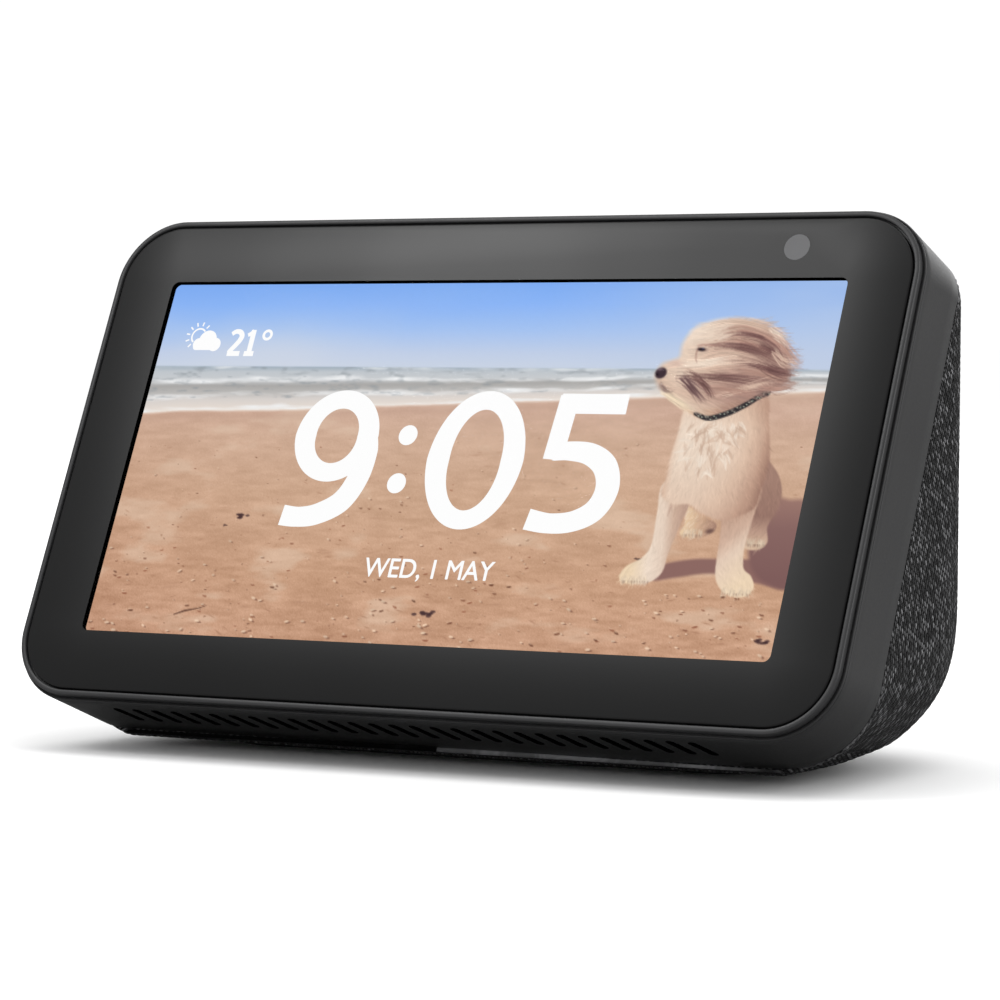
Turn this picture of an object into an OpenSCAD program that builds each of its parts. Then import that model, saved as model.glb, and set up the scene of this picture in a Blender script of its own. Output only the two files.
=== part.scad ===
// Tabletop smart display: a leaning touch screen in a wedge-shaped case with a fabric back.
// Millimetres. +X is to the viewer's right, +Y to the rear, +Z up.
// The origin is on the table, at the centre of the case's bounding box.
// Panel coordinates: x across, y depth behind the front face, z up the leaning panel.

/* [Case] */
// Overall width
body_w = 148; // [146:0.5:152]
// Overall depth
body_d = 73; // [72:0.5:76]
// Overall height above the table
body_h = 86; // [85:0.5:88]
// Height of the front panel, measured along its lean
panel_h = 85.4; // [84.5:0.1:86]
// Backward lean of the panel from vertical, in degrees
lean = 25; // [24:0.5:26]
// Outer corner radius of the front panel
corner_r = 11.5; // [10.5:0.5:12.5]
// Depth of the plastic band behind the panel's face
band_d = 15.2; // [14.5:0.1:16]
// Wall of the plastic band
band_t = 2; // [1.6:0.1:2.4]
// Thickness of the knitted cover
fabric_t = 0.9; // [0.7:0.1:1.2]
// Wall of the rear shell
shell_t = 2.2; // [1.8:0.1:2.6]

/* [Screen] */
// Width of the lit picture
screen_w = 124.1; // [120:0.1:125]
// Height of the lit picture
screen_h = 62.06; // [60:0.01:62.5]
// Thickness of the cover glass
glass_t = 1.1; // [0.7:0.1:1.1]
// Sideways distance of the camera from the middle
camera_x = 52.25; // [50:0.25:54]
// Distance of the camera above the panel's middle
camera_z = 36.2; // [36:0.1:36.4]

/* [Controls] */
// Spacing of the three top buttons
button_pitch = 17; // [15:0.5:18]
// Travel of each top button
button_travel = 0.6; // [0.4:0.1:0.6]
// Travel of the camera shutter
shutter_travel = 6; // [5:0.5:6]
// Number of sound slots under the band
slot_count = 29; // [21:1:29]

/* [Speaker] */
// Outer diameter of the speaker flange
speaker_d = 43; // [40:1:44]
// Sideways place of the speaker
speaker_x = -19; // [-20:0.5:-18]

/* [Hidden] */
$fn = 64;
hull_fn = 32;
fine_fn = 24;
eps = 0.01;
far = 300;

// Front panel stack, as depths behind the front face
bezel_inset = 0.35;
gap_inset = 1.35;
glass_inset = 1.65;
lip_inset = 3.4;
bezel_t = 1.2;
housing_v = 1.35;
film_t = 0.1;
touch_v = 1.25;
lcd_v = 1.5;
lcd_t = 1.25;
light_t = 1.25;
tray_t = 0.3;
tray_v = lcd_v + lcd_t + light_t + 0.1;
chassis_v = tray_v + tray_t + 0.3;
chassis_t = 0.6;
board_v = chassis_v + 2.6;
board_t = 1.2;
display_w = 129;
display_top = 32.3;
display_bottom = -34.5;
display_h = display_top - display_bottom;
display_z = (display_top + display_bottom) / 2;

// Where the panel's centre stands
face_half = panel_h / 2 - bezel_inset;
panel_y = -body_d / 2 + face_half * sin(lean);
panel_z = body_h - face_half * cos(lean);

// Taper of the band, from its front edge to the seam
seam_side = 0.8;
seam_top = 1.1;
seam_bottom = 0.4;
seam_r = 13.5;
seam_top_r = 7.5;

// Shape of the fabric-covered rear body
base_z = 1.5;
waist_z = 27;
crown_z = 79;
back_curve = 0.0095;
corner_curve = 0.0125;
rear_r = 33;
least_r = 4;
base_tuck = 11;
tuck_z = 32;
tuck_power = 4;
body_side = 73.1;
low_slices = 8;
high_slices = 8;
arc_step = 7.5;
glue = 0.12;

// Rear ports
port_z0 = 7.6;
port_z1 = 17.2;
port_x0 = 13;
port_x1 = 45;
port_face_y = 30.2;
port_plate_t = 1.6;
port_plate_y = port_face_y - port_plate_t;
io_points = [[17.2, 14], [41.8, 14]];
jack_y = port_plate_y - 0.1;
io_flex_y = 12.4;
io_z = 8.4;
io_t = 1.2;
dc_x = 20;
dc_r = 2.1;
dc_z = io_z + io_t + 3.2;
usb_x = 30;
usb_z = io_z + io_t + 1.45;
audio_x = 39;
audio_r = 1.8;
audio_z = io_z + io_t + 2.8;

// Top controls, as places on the panel
button_v = 7.6;
button_len = 10;
button_r = 2.2;
button_x = [-button_pitch, 0, button_pitch];
top_z = panel_h / 2;
button_board_z = 34;
button_board_t = 1.2;
switch_z = button_board_z + button_board_t;
switch_h = 1.6;
plunger_z = switch_z + 0.4 + button_travel;
stem_z = switch_z + 2.2;
flange_z = 38.4;
cap_z = 42.5;
button_post_x = 8.5;
mic_x = 27;
shutter_x = 47.5;
shutter_v = 7.2;

// Sound slots
slot_w = 1.4;
slot_pitch = 3.72;
slot_v0 = 5;
slot_v1 = 9.4;
slot_shift = 1.3;
slot_first = -54.4;
mesh_l = 108;

// Speaker, fired downwards into the space above the base
speaker_y = 10;
box_z = 14.5;
box_top = 42;
box_t = 1.8;
box_x0 = -46;
box_x1 = 8;
ear_w = 4;
ear_y = [4, 22];
ear_x = [box_x0 - ear_w, box_x1 + ear_w];
gasket_t = 0.3;
flange_r = speaker_d / 2;
flange_t = 1.2;
hole_r = flange_r - 2.2;
cone_r = 15.5;
coil_r = 7;
magnet_z = 23;
magnet_r = 12.5;

// Case screws under the foot
screw_x = 38;
screw_y = [-8.4, -2];
tongue_z = 5.3;
tongue_t = 2;
tongue_w = 88;
tongue_y0 = -24;
tongue_y1 = 1;
boss_h = 4;
head_r = 2.3;
head_h = 1.1;
shank_r = 1.25;
pilot_r = 1.3;
foot_w = 98;
foot_l = 26;
foot_y = 2;
foot_h = 2.4;
foot_r = 8;

// Standoffs of the main board
board_w = 100;
board_h = 38;
board_z = 11;
standoff_x = 46;
standoff_z = [-4, 26];
chip_v = board_v - 1;

// Chassis plate and the screws along its sides
chassis_w = 141;
chassis_top = 32.6;
chassis_bottom = -36;
chassis_points = [for (s = [-1, 1], z = [-29, -2, 25]) [s * 68.3, z]];

// ---- Shared shapes ----

// Places children in panel coordinates
module on_panel() {
    translate([0, panel_y, panel_z]) rotate([-lean, 0, 0]) children();
}

// Extrudes an x-z outline backwards from depth v
module slab(v, t) {
    translate([0, v + t, 0]) rotate([90, 0, 0]) linear_extrude(t) children();
}

// Rectangle with round corners, centred
module rounded(w, h, r) {
    square([w - 2 * r, h], center = true);
    square([w, h - 2 * r], center = true);
    for (sx = [-1, 1], sz = [-1, 1])
        translate([sx * (w / 2 - r), sz * (h / 2 - r)]) circle(r);
}

// The front panel's outline, drawn in by an inset
module outline(inset) {
    rounded(body_w - 2 * inset, panel_h - 2 * inset, corner_r - inset);
}

// The band's outline where it meets the fabric, drawn in by an inset; its upper corners are the tighter ones
module seam_outline(inset) {
    w = body_w - 2 * (seam_side + inset);
    low = -panel_h / 2 + seam_bottom + inset;
    high = panel_h / 2 - seam_top - inset;
    low_r = seam_r - inset;
    high_r = seam_top_r - inset;
    translate([-w / 2, low + low_r]) square([w, high - low - low_r - high_r]);
    translate([low_r - w / 2, low]) square([w - 2 * low_r, (high - low) / 2]);
    translate([high_r - w / 2, (high + low) / 2]) square([w - 2 * high_r, (high - low) / 2]);
    for (sx = [-1, 1]) {
        translate([sx * (w / 2 - low_r), low + low_r]) circle(low_r);
        translate([sx * (w / 2 - high_r), high - high_r]) circle(high_r);
    }
}

module pill(length, r) {
    square([length - 2 * r, 2 * r], center = true);
    for (s = [-1, 1]) translate([s * (length / 2 - r), 0]) circle(r);
}

module block(x, y, z) {
    translate([x[0], y[0], z[0]]) cube([x[1] - x[0], y[1] - y[0], z[1] - z[0]]);
}

module tube(outer, inner, h) {
    difference() {
        cylinder(r = outer, h = h);
        translate([0, 0, -eps]) cylinder(r = inner, h = h + 2 * eps);
    }
}

// Extrudes a y-z outline from x0 to x1
module across(x0, x1) {
    translate([x0, 0, 0]) rotate([90, 0, 90]) linear_extrude(x1 - x0) children();
}

// Sideways step from point i of a path that keeps both neighbouring edges parallel
function mitre(path, i) = let (
    last = len(path) - 1,
    a = path[max(i, 1)] - path[max(i, 1) - 1],
    b = path[min(i, last - 1) + 1] - path[min(i, last - 1)],
    left_a = [-a[1], a[0]] / norm(a),
    left_b = [-b[1], b[0]] / norm(b)
) (left_a + left_b) / (1 + left_a * left_b);

// A flat flexible strip that follows points in the y-z plane
module ribbon(path, x0, width, t) {
    last = len(path) - 1;
    across(x0, x0 + width) polygon(concat(
        [for (i = [0 : last]) path[i] + mitre(path, i) * t / 2],
        [for (i = [last : -1 : 0]) path[i] - mitre(path, i) * t / 2]
    ));
}

// A small screw with its head at z = 0 and its shank towards +z
module screw(head_r, head_h, shank_r, length) {
    difference() {
        cylinder(r = head_r, h = head_h);
        translate([0, 0, -eps]) cylinder(r = head_r / 2, h = head_h / 2, $fn = 6);
    }
    translate([0, 0, head_h - eps]) cylinder(r = shank_r, h = length + eps);
}

// ---- Rear body ----

// Rearmost place and corner radius of the plan at height z, from the case's middle
function tuck(z) = z < tuck_z ? base_tuck * pow((tuck_z - z) / (tuck_z - base_z), tuck_power) : 0;
function above(z) = max(z - waist_z, 0);
function back_y(z) = body_d / 2 - back_curve * pow(above(z), 2) - tuck(z);
function plan_r(z) = max(rear_r - corner_curve * pow(above(z), 2), least_r);
function seam_half(z) = let (
    w = (z - panel_z + band_d * sin(lean)) / cos(lean),
    r = w > 0 ? seam_top_r : seam_r,
    edge = w > 0 ? panel_h / 2 - seam_top - w : w + panel_h / 2 - seam_bottom,
    drop = min(max(r - edge, 0), r)
) body_w / 2 - seam_side - r + sqrt(pow(r, 2) - pow(drop, 2));
function side_x(z) = min(body_side - tuck(z), seam_half(z) - 0.1);

// Rear corners of the plan at height z, as two arcs
function rear_arc(z, inset) = let (r = plan_r(z)) [
    for (a = [0 : arc_step : 90])
        [side_x(z) - r + (r - inset) * cos(a), back_y(z) - r + (r - inset) * sin(a)]
];
// Where the seam plane passes at height z, held in front of the rear corners
function front_y(z) = min(
    panel_y + (band_d + 1 + (z - panel_z) * sin(lean)) / cos(lean), back_y(z) - plan_r(z)
);
function plan(z, inset) = let (
    half = concat([[side_x(z) - inset, front_y(z)]], rear_arc(z, inset)),
    n = len(half)
) concat(half, [for (i = [n - 1 : -1 : 0]) [-half[i][0], half[i][1]]]);

levels = concat(
    [for (i = [1 : low_slices]) base_z + (waist_z - base_z) * pow(i / low_slices, 1.5)],
    [for (i = [1 : high_slices - 1]) waist_z + (crown_z - waist_z) * i / high_slices]
);
function slice_heights(inset) = concat(
    [base_z + inset],
    [for (z = levels) if (z > base_z + inset) z],
    [crown_z - inset]
);

// The whole rear volume, drawn in by an inset and running a little into the band
module rear_volume(inset) {
    overlap = 2;
    hull() {
        on_panel() slab(band_d - overlap, eps) seam_outline(inset, $fn = hull_fn * 2);
        for (z = slice_heights(inset)) translate([0, 0, z]) linear_extrude(eps) polygon(plan(z, inset));
    }
}

module behind_seam(gap) {
    intersection() {
        children();
        on_panel() slab(band_d + gap, far) square(far, center = true);
    }
}

// The rear port pocket's outline, grown all round and run from y to the rear
module port_frame(y, grow) {
    translate([(port_x0 + port_x1) / 2, 0, (port_z0 + port_z1) / 2])
        slab(y, far)
            rounded(port_x1 - port_x0 + 2 * grow, port_z1 - port_z0 + 2 * grow, 2 + grow);
}

module foot_outline(grow) {
    translate([0, foot_y]) rounded(foot_w + 2 * grow, foot_l + 2 * grow, foot_r + grow);
}

module fabric_cover() {
    color("#3a3a3c") difference() {
        behind_seam(0.15) difference() {
            rear_volume(0);
            rear_volume(fabric_t);
        }
        port_frame(port_plate_y, 0);
        translate([0, 0, -eps]) linear_extrude(fabric_t + base_z + 1) foot_outline(0.4);
    }
}

// A post that stands on the shell's floor
module post(place, top) {
    translate([place[0], place[1], base_z]) cylinder(r = 2.4, h = top - base_z);
}

module rear_shell() {
    outer = fabric_t + glue;
    lip_v = band_d - 2.8;
    lip_in = band_t + 0.5;
    lip_bottom = -26;
    color("#262628") difference() {
        union() {
            behind_seam(0.15) difference() {
                rear_volume(outer);
                rear_volume(outer + shell_t);
            }
            intersection() {
                rear_volume(outer);
                union() {
                    port_frame(port_plate_y, 1.4);
                    for (p = io_points) post(p, io_z);
                    for (x = ear_x, y = ear_y) post([x, y], box_z);
                }
            }
            on_panel() intersection() {
                slab(lip_v, band_d - lip_v + 1.4) difference() {
                    seam_outline(lip_in);
                    seam_outline(lip_in + 1.4);
                }
                translate([0, 0, lip_bottom + far / 2]) cube(far, center = true);
            }
        }
        port_frame(port_plate_y - 1, -0.2);
        for (sx = [-1, 1], y = screw_y) translate([sx * screw_x, y, 0]) {
            cylinder(r = 1.5, h = tongue_z + 1);
            cylinder(r = head_r + 0.2, h = base_z + outer + head_h + 0.1);
        }
        for (p = io_points) translate([p[0], p[1], io_z - 3]) cylinder(r = 0.85, h = 4);
        for (x = ear_x, y = ear_y) translate([x, y, box_z - 6]) cylinder(r = 1.05, h = 7);
    }
}

module foot_pad() {
    groove = 0.6;
    color("#1b1b1c") difference() {
        linear_extrude(foot_h) foot_outline(0);
        translate([0, 0, -eps]) linear_extrude(groove + eps) difference() {
            foot_outline(-3);
            foot_outline(-4.2);
        }
    }
}

module case_screws() {
    z = base_z + fabric_t + glue + 0.02;
    color("#8d8f92") for (sx = [-1, 1], y = screw_y)
        translate([sx * screw_x, y, z]) screw(head_r, head_h, shank_r, tongue_z + boss_h - z - head_h);
}

// ---- Front of the case ----

module front_bezel() {
    step = 0.4;
    color("#3c3c3e") on_panel() {
        slab(0, bezel_t) difference() {
            outline(bezel_inset);
            outline(gap_inset);
        }
        slab(bezel_t - step, step + 1) difference() {
            outline(gap_inset - 0.2);
            outline(glass_inset - 0.15);
        }
        slab(bezel_t + 0.03, 0.97) difference() {
            outline(gap_inset - 0.2);
            outline(lip_inset);
        }
    }
}

// The tapered band between its front edge and the seam
module band_volume(inset, extra) {
    hull() {
        slab(housing_v - extra, eps) outline(inset, $fn = hull_fn * 2);
        slab(band_d - eps + extra, eps) seam_outline(inset, $fn = hull_fn * 2);
    }
}

module sound_slots() {
    mid_v = (slot_v0 + slot_v1) / 2;
    run = slot_v1 - slot_v0;
    for (i = [0 : slot_count - 1])
        translate([slot_first + i * slot_pitch + slot_shift / 2, mid_v, -panel_h / 2 - 1])
            rotate([0, 0, atan2(run, slot_shift)])
                linear_extrude(4) pill(norm([run, slot_shift]) + slot_w, slot_w / 2, $fn = fine_fn);
}

module top_holes() {
    for (x = button_x)
        translate([x, button_v, flange_z + 1])
            linear_extrude(far) pill(button_len + 0.4, button_r + 0.2);
    for (s = [-1, 1])
        translate([s * mic_x, button_v, flange_z]) cylinder(r = 0.55, h = far);
    translate([shutter_x - shutter_travel / 2, shutter_v, flange_z])
        linear_extrude(far) pill(shutter_travel + 5, 1.5);
}

module front_housing() {
    ledge_v = bezel_t + 1.3;
    ledge_t = 1.3;
    color("#444446") difference() {
        union() {
            on_panel() {
                difference() {
                    band_volume(0, 0);
                    band_volume(band_t, 0.2);
                    slab(0, ledge_v) outline(gap_inset - 0.35);
                }
                slab(ledge_v, ledge_t) difference() {
                    outline(band_t - 0.6);
                    outline(lip_inset);
                }
                for (p = chassis_points) translate([p[0], 0, p[1]])
                    slab(ledge_v, chassis_v - ledge_v) circle(2.6);
                for (s = [-1, 1]) translate([s * button_post_x, button_v, switch_z])
                    cylinder(r = 1.7, h = top_z - 1 - switch_z);
            }
            block([-tongue_w / 2, tongue_w / 2], [tongue_y0, tongue_y1],
                  [tongue_z, tongue_z + tongue_t]);
            for (sx = [-1, 1], y = screw_y) translate([sx * screw_x, y, tongue_z])
                cylinder(r = 3, h = boss_h);
        }
        for (sx = [-1, 1], y = screw_y) translate([sx * screw_x, y, tongue_z - 1])
            cylinder(r = pilot_r, h = boss_h + 2);
        on_panel() {
            sound_slots();
            top_holes();
            for (p = chassis_points) translate([p[0], 0, p[1]])
                slab(ledge_v + 0.4, chassis_v) circle(0.85);
            for (s = [-1, 1]) translate([s * button_post_x, button_v, switch_z - 1])
                cylinder(r = 0.85, h = 4);
        }
    }
}

module slot_mesh() {
    t = 0.3;
    mid_v = (slot_v0 + slot_v1) / 2;
    rise = -panel_h / 2 + band_t + 0.35;
    color("#161617") on_panel() translate([slot_first + (slot_count - 1) * slot_pitch / 2, mid_v, rise])
        linear_extrude(t) rounded(mesh_l, slot_v1 - slot_v0 + 2.1, 1);
}

// ---- Screen stack ----

module cover_glass() {
    color("#3b3b3d", 0.6) on_panel() slab(0.05, glass_t) outline(glass_inset);
}

// Printed black border with its adhesive, open over the screen and the camera
module border_film() {
    color("#101011") on_panel() slab(0.05 + glass_t, film_t - 0.03) difference() {
        outline(glass_inset + 0.15);
        rounded(screen_w, screen_h, 1);
        translate([camera_x, camera_z]) circle(2.1);
    }
}

module touch_sensor() {
    color("#6f7478") on_panel() slab(touch_v, 0.2) rounded(127, 65, 1.5);
}

module lcd_panel() {
    color("#2a3f66") on_panel() slab(lcd_v, lcd_t)
        translate([0, display_z]) square([display_w, display_h], center = true);
}

module backlight_unit() {
    color("#e8e8e4") on_panel() slab(lcd_v + lcd_t + 0.02, light_t)
        translate([0, display_z]) square([display_w, display_h], center = true);
}

module display_tray() {
    wall = 0.3;
    room = 0.4;
    color("#b9bbbd") on_panel() {
        slab(tray_v, tray_t) translate([0, display_z])
            rounded(display_w + 2 * (room + wall), display_h + 2 * (room + wall), 1);
        slab(lcd_v, tray_v - lcd_v + eps) translate([0, display_z]) difference() {
            rounded(display_w + 2 * (room + wall), display_h + 2 * (room + wall), 1);
            rounded(display_w + 2 * room, display_h + 2 * room, 0.7);
        }
    }
}

// ---- Chassis and main board ----

module chassis_plate() {
    h = chassis_top - chassis_bottom;
    color("#a4a7aa") on_panel() slab(chassis_v, chassis_t) difference() {
        translate([0, (chassis_top + chassis_bottom) / 2]) rounded(chassis_w, h, 4);
        for (p = chassis_points) translate(p) circle(1.2);
        for (sx = [-1, 1], z = standoff_z) translate([sx * standoff_x, z]) circle(1.5);
        for (sx = [-1, 1], z = [-24, -14]) translate([sx * 34, z]) rounded(20, 5, 2.4);
    }
}

module chassis_screws() {
    color("#8d8f92") on_panel() for (p = chassis_points)
        translate([p[0], chassis_v + chassis_t + 0.9, p[1]]) rotate([90, 0, 0])
            screw(1.7, 0.9, 0.8, 2.2);
}

module board_standoffs() {
    base_v = chassis_v + chassis_t;
    color("#c9a24a") on_panel() for (sx = [-1, 1], z = standoff_z)
        translate([sx * standoff_x, base_v, z]) {
            slab(0, board_v - base_v) difference() {
                circle(d = 4.4, $fn = 6);
                circle(0.85);
            }
            slab(-chassis_t, chassis_t) difference() {
                circle(1.45);
                circle(0.85);
            }
        }
}

module main_board() {
    color("#1d4d3a") on_panel() slab(board_v, board_t) translate([0, board_z]) difference() {
        rounded(board_w, board_h, 1.5);
        for (sx = [-1, 1], z = standoff_z) translate([sx * standoff_x, z - board_z]) circle(1.1);
    }
}

// The same small screw holds the main board, the button board and the port board
module small_screw() {
    screw(1.7, 0.9, 0.8, 2.9);
}

module board_screws() {
    color("#8d8f92") {
        on_panel() {
            for (sx = [-1, 1], z = standoff_z)
                translate([sx * standoff_x, board_v + board_t + 0.9, z]) rotate([90, 0, 0]) small_screw();
            for (s = [-1, 1])
                translate([s * button_post_x, button_v, button_board_z - 0.9]) small_screw();
        }
        for (p = io_points)
            translate([p[0], p[1], io_z + io_t + 0.9]) mirror([0, 0, 1]) small_screw();
    }
}

module processor() {
    color("#1c1d1f") on_panel() slab(chip_v, 1) translate([0, 14]) square(14, center = true);
}

module thermal_pad() {
    color("#8f9fb5") on_panel() slab(chassis_v + chassis_t, chip_v - chassis_v - chassis_t)
        translate([0, 14]) square(13, center = true);
}

module shield_can(w, h, t) {
    wall = 0.25;
    slab(board_v + board_t, t) difference() {
        rounded(w, h, 1);
        rounded(w - 2 * wall, h - 2 * wall, 0.75);
    }
    slab(board_v + board_t + t - wall, wall) rounded(w, h, 1);
}

module main_shield() {
    color("#c3c5c7") on_panel() translate([0, 0, 13]) shield_can(30, 24, 1.8);
}

module radio_shield() {
    color("#c3c5c7") on_panel() translate([31, 0, 13]) shield_can(16, 18, 1.8);
}

module board_connectors() {
    back_v = board_v + board_t;
    color("#d9d5c8") on_panel() {
        block([-13, 13], [board_v - 1.5, board_v], [-6, -2]);
        block([-34, -22], [back_v, back_v + 1.6], [25, 29]);
        block([45, 50], [back_v, back_v + 1.2], [-1, 3]);
        block([21.5, 33.5], [back_v, back_v + 1.2], [-7.5, -3.5]);
        block([-42, -37], [back_v, back_v + 2.4], [-7, -3]);
    }
}

module power_coils() {
    color("#4a4c50") on_panel() for (z = [2, 10, 18])
        translate([-27, board_v + board_t, z]) slab(0, 2.4) rounded(5.4, 5.4, 1);
}

module display_flex() {
    x0 = -12;
    bottom = -36.9;
    color("#b5772f") on_panel() ribbon(
        [[3.4, display_bottom - 0.9], [3.4, bottom], [board_v - 0.9, bottom], [board_v - 0.9, -6.05]],
        x0, -2 * x0, 0.2);
}

// Short flexible strips from the button board and the camera board to the main board
module upper_flexes() {
    back_v = board_v + board_t;
    color("#b5772f") on_panel() {
        ribbon([[back_v + 0.8, button_board_z - 0.05], [back_v + 0.8, 29.05]], -32, 8, 0.2);
        ribbon([[back_v + 0.6, camera_z - 5.05], [back_v + 0.6, 3.05]], 48, 1.9, 0.2);
    }
}

// Panel depth v and height z as a place in the case's y-z plane
function in_case(v, z) = [
    panel_y + v * cos(lean) + z * sin(lean), panel_z - v * sin(lean) + z * cos(lean)
];

module io_flex() {
    start_z = io_z + io_t + 0.7;
    v = board_v + board_t + 0.6;
    color("#b5772f") ribbon(
        [[io_flex_y, start_z], [6, start_z], in_case(v, -15), in_case(v, -7.55)], 22.5, 10, 0.2);
}

// ---- Buttons and microphones ----

module button_board() {
    color("#1d4d3a") on_panel() difference() {
        block([-33, 33], [button_v - 2.8, button_v + 3.2], [button_board_z, switch_z]);
        for (s = [-1, 1])
            translate([s * button_post_x, button_v, button_board_z - 1]) cylinder(r = 1, h = 4);
    }
}

module tact_switches() {
    half = 2.25;
    color("#b9bbbd") on_panel() for (x = button_x) difference() {
        block([x - half, x + half], [button_v - half, button_v + half], [switch_z, switch_z + switch_h]);
        translate([x, button_v, switch_z + 0.2]) cylinder(r = 1.3, h = switch_h);
    }
}

// A button cap with its retaining flange and stem
module button_cap(x) {
    wide = 1.2;
    color("#4b4b4d") on_panel() translate([x, button_v, 0]) {
        translate([0, 0, stem_z]) cylinder(r = 1.4, h = flange_z - stem_z + eps);
        translate([0, 0, flange_z]) linear_extrude(1) pill(button_len + wide, button_r + wide / 2);
        translate([0, 0, flange_z + 1 - eps])
            linear_extrude(cap_z - flange_z - 1) pill(button_len, button_r);
    }
}

module plunger(x) {
    color("#20262c") on_panel() translate([x, button_v, plunger_z])
        cylinder(r = 0.95, h = stem_z - plunger_z);
}

module mute_button() button_cap(button_x[0]);
module volume_down_button() button_cap(button_x[1]);
module volume_up_button() button_cap(button_x[2]);
module mute_plunger() plunger(button_x[0]);
module volume_down_plunger() plunger(button_x[1]);
module volume_up_plunger() plunger(button_x[2]);

module mic_modules() {
    color("#c9b27a") on_panel() for (s = [-1, 1])
        block([s * mic_x - 1.75, s * mic_x + 1.75], [button_v - 1.3, button_v + 1.3],
              [switch_z, switch_z + 1]);
}

module mic_gaskets() {
    bottom = switch_z + 1;
    color("#2a2a2c") on_panel() for (s = [-1, 1])
        translate([s * mic_x, button_v, bottom]) tube(2.1, 0.7, 39.9 - bottom);
}

// ---- Camera ----

module camera_module() {
    body_v = 4.6;
    color("#202124") on_panel() translate([camera_x, 0, camera_z]) difference() {
        union() {
            slab(body_v, board_v - body_v) square(6.4, center = true);
            slab(2.6, body_v - 2.6 + eps) circle(2.6);
        }
        slab(2.4, 1) circle(1.7);
    }
}

module camera_lens() {
    color("#26334d", 0.8) on_panel() translate([camera_x, 0, camera_z]) slab(2.7, 0.6) circle(1.65);
}

module camera_board() {
    color("#1d4d3a") on_panel()
        block([45, 56.5], [board_v, board_v + 0.8], [camera_z - 5, camera_z + 2.3]);
}

// The shutter: thumb nub and carriage on top, arm beside the camera, blade behind the glass
module shutter_slider() {
    blade_z0 = 33.7;
    blade_z1 = 38.8;
    carriage_z = 38.9;
    nub_z = 42.75;
    arm = [shutter_x - 1.6, shutter_x + 0.4];
    color("#8a8c8f") on_panel() {
        block([arm[0], camera_x + 2.9], [1.6, 2], [blade_z0, blade_z1]);
        block(arm, [1.6, shutter_v - 1.8], [blade_z0 + 2, blade_z1]);
        block([shutter_x - 3.2, shutter_x + 1], [shutter_v - 2.4, shutter_v + 2.4],
              [blade_z1 - eps, carriage_z + 0.8]);
        translate([shutter_x, shutter_v, carriage_z + 0.79])
            linear_extrude(nub_z - carriage_z - 0.79) pill(4, 1.15);
    }
}

// ---- Antennas ----

module antennas() {
    color("#c8a25c") on_panel() for (s = [-1, 1])
        block([s * 70.6 - 0.3, s * 70.6 + 0.3], [5.8, 12.2], [-6, 24]);
}

module antenna_cables() {
    color("#39393b") on_panel() for (s = [-1, 1])
        translate([s * board_w / 2 + (s > 0 ? 0 : -20.3), 9.4, 20]) rotate([0, 90, 0])
            cylinder(r = 0.6, h = 20.3, $fn = fine_fn);
}

// ---- Speaker ----

function box_profile(t) = [
    [-12.5 + 1.4 * t, box_z + t], [31 - t, box_z + t], [31 - t, 34 - 0.4 * t],
    [25 - 0.6 * t, box_top - t], [-0.5 + 0.8 * t, box_top - t]
];

module speaker_box() {
    color("#2b2b2e") difference() {
        union() {
            across(box_x0, box_x1) polygon(box_profile(0));
            for (x = ear_x, y = ear_y) translate([x, y, box_z]) cylinder(r = 3, h = box_t);
            for (y = ear_y) block([ear_x[0], ear_x[1]], [y - 2, y + 2], [box_z, box_z + box_t]);
        }
        across(box_x0 + box_t, box_x1 - box_t) polygon(box_profile(box_t));
        translate([speaker_x, speaker_y, box_z - 1]) cylinder(r = hole_r, h = box_t + 2);
        for (x = ear_x, y = ear_y) translate([x, y, box_z - 1]) cylinder(r = 1.3, h = box_t + 2);
    }
}

module speaker_screws() {
    color("#8d8f92") for (x = ear_x, y = ear_y)
        translate([x, y, box_z + box_t + head_h]) mirror([0, 0, 1]) screw(2.2, head_h, 1, box_t + 4);
}

module at_speaker() {
    translate([speaker_x, speaker_y, 0]) children();
}

module speaker_gasket() {
    color("#3f3f42") at_speaker() translate([0, 0, box_z - gasket_t])
        tube(flange_r - 0.2, hole_r, gasket_t - eps);
}

// Pressed basket: flange, sloping wall and the seat for the magnet
module speaker_basket() {
    top = box_z - gasket_t - eps;
    low = top - flange_t;
    color("#7d8084") at_speaker() rotate_extrude() polygon([
        [flange_r, low], [flange_r, top], [hole_r - 0.3, top], [15.5, magnet_z - 1],
        [15.5, magnet_z], [8.2, magnet_z], [8.2, magnet_z - 1], [14.7, magnet_z - 1],
        [hole_r - 1.1, top - 0.2], [hole_r - 1.1, low]
    ]);
}

module speaker_magnet() {
    gap_r = 8.2;
    pole_r = 6.4;
    ring_t = 6;
    plate_t = 1.5;
    color("#55575b") at_speaker() translate([0, 0, magnet_z + eps]) {
        tube(magnet_r, gap_r, ring_t);
        translate([0, 0, ring_t - eps]) cylinder(r = magnet_r, h = plate_t);
        cylinder(r = pole_r, h = ring_t);
    }
}

module speaker_cone() {
    z0 = box_z - 1.1;
    z1 = 18.6;
    t = 0.4;
    color("#2d2d30") at_speaker() rotate_extrude() polygon([
        [cone_r, z0], [cone_r, z0 + t], [coil_r + 0.5, z1 + t], [coil_r, z1 + t],
        [3.6, z1 - 0.3], [0, z1 - 1], [0, z1 - 1.4], [3.8, z1 - 0.8], [coil_r, z1]
    ]);
}

module voice_coil() {
    color("#b56f3a") at_speaker() translate([0, 0, 19.01]) tube(coil_r + 0.45, coil_r, 7);
}

module speaker_surround() {
    z = box_z - 1.1;
    mid = (cone_r + hole_r - 1.1) / 2;
    roll = (hole_r - 1.1 - cone_r) / 2;
    color("#1d1d1f") at_speaker() rotate_extrude() difference() {
        translate([mid, z]) circle(roll - 0.01);
        translate([mid, z]) circle(roll - 0.36);
        translate([mid - roll, z]) square([2 * roll, 2 * roll]);
    }
}

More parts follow.
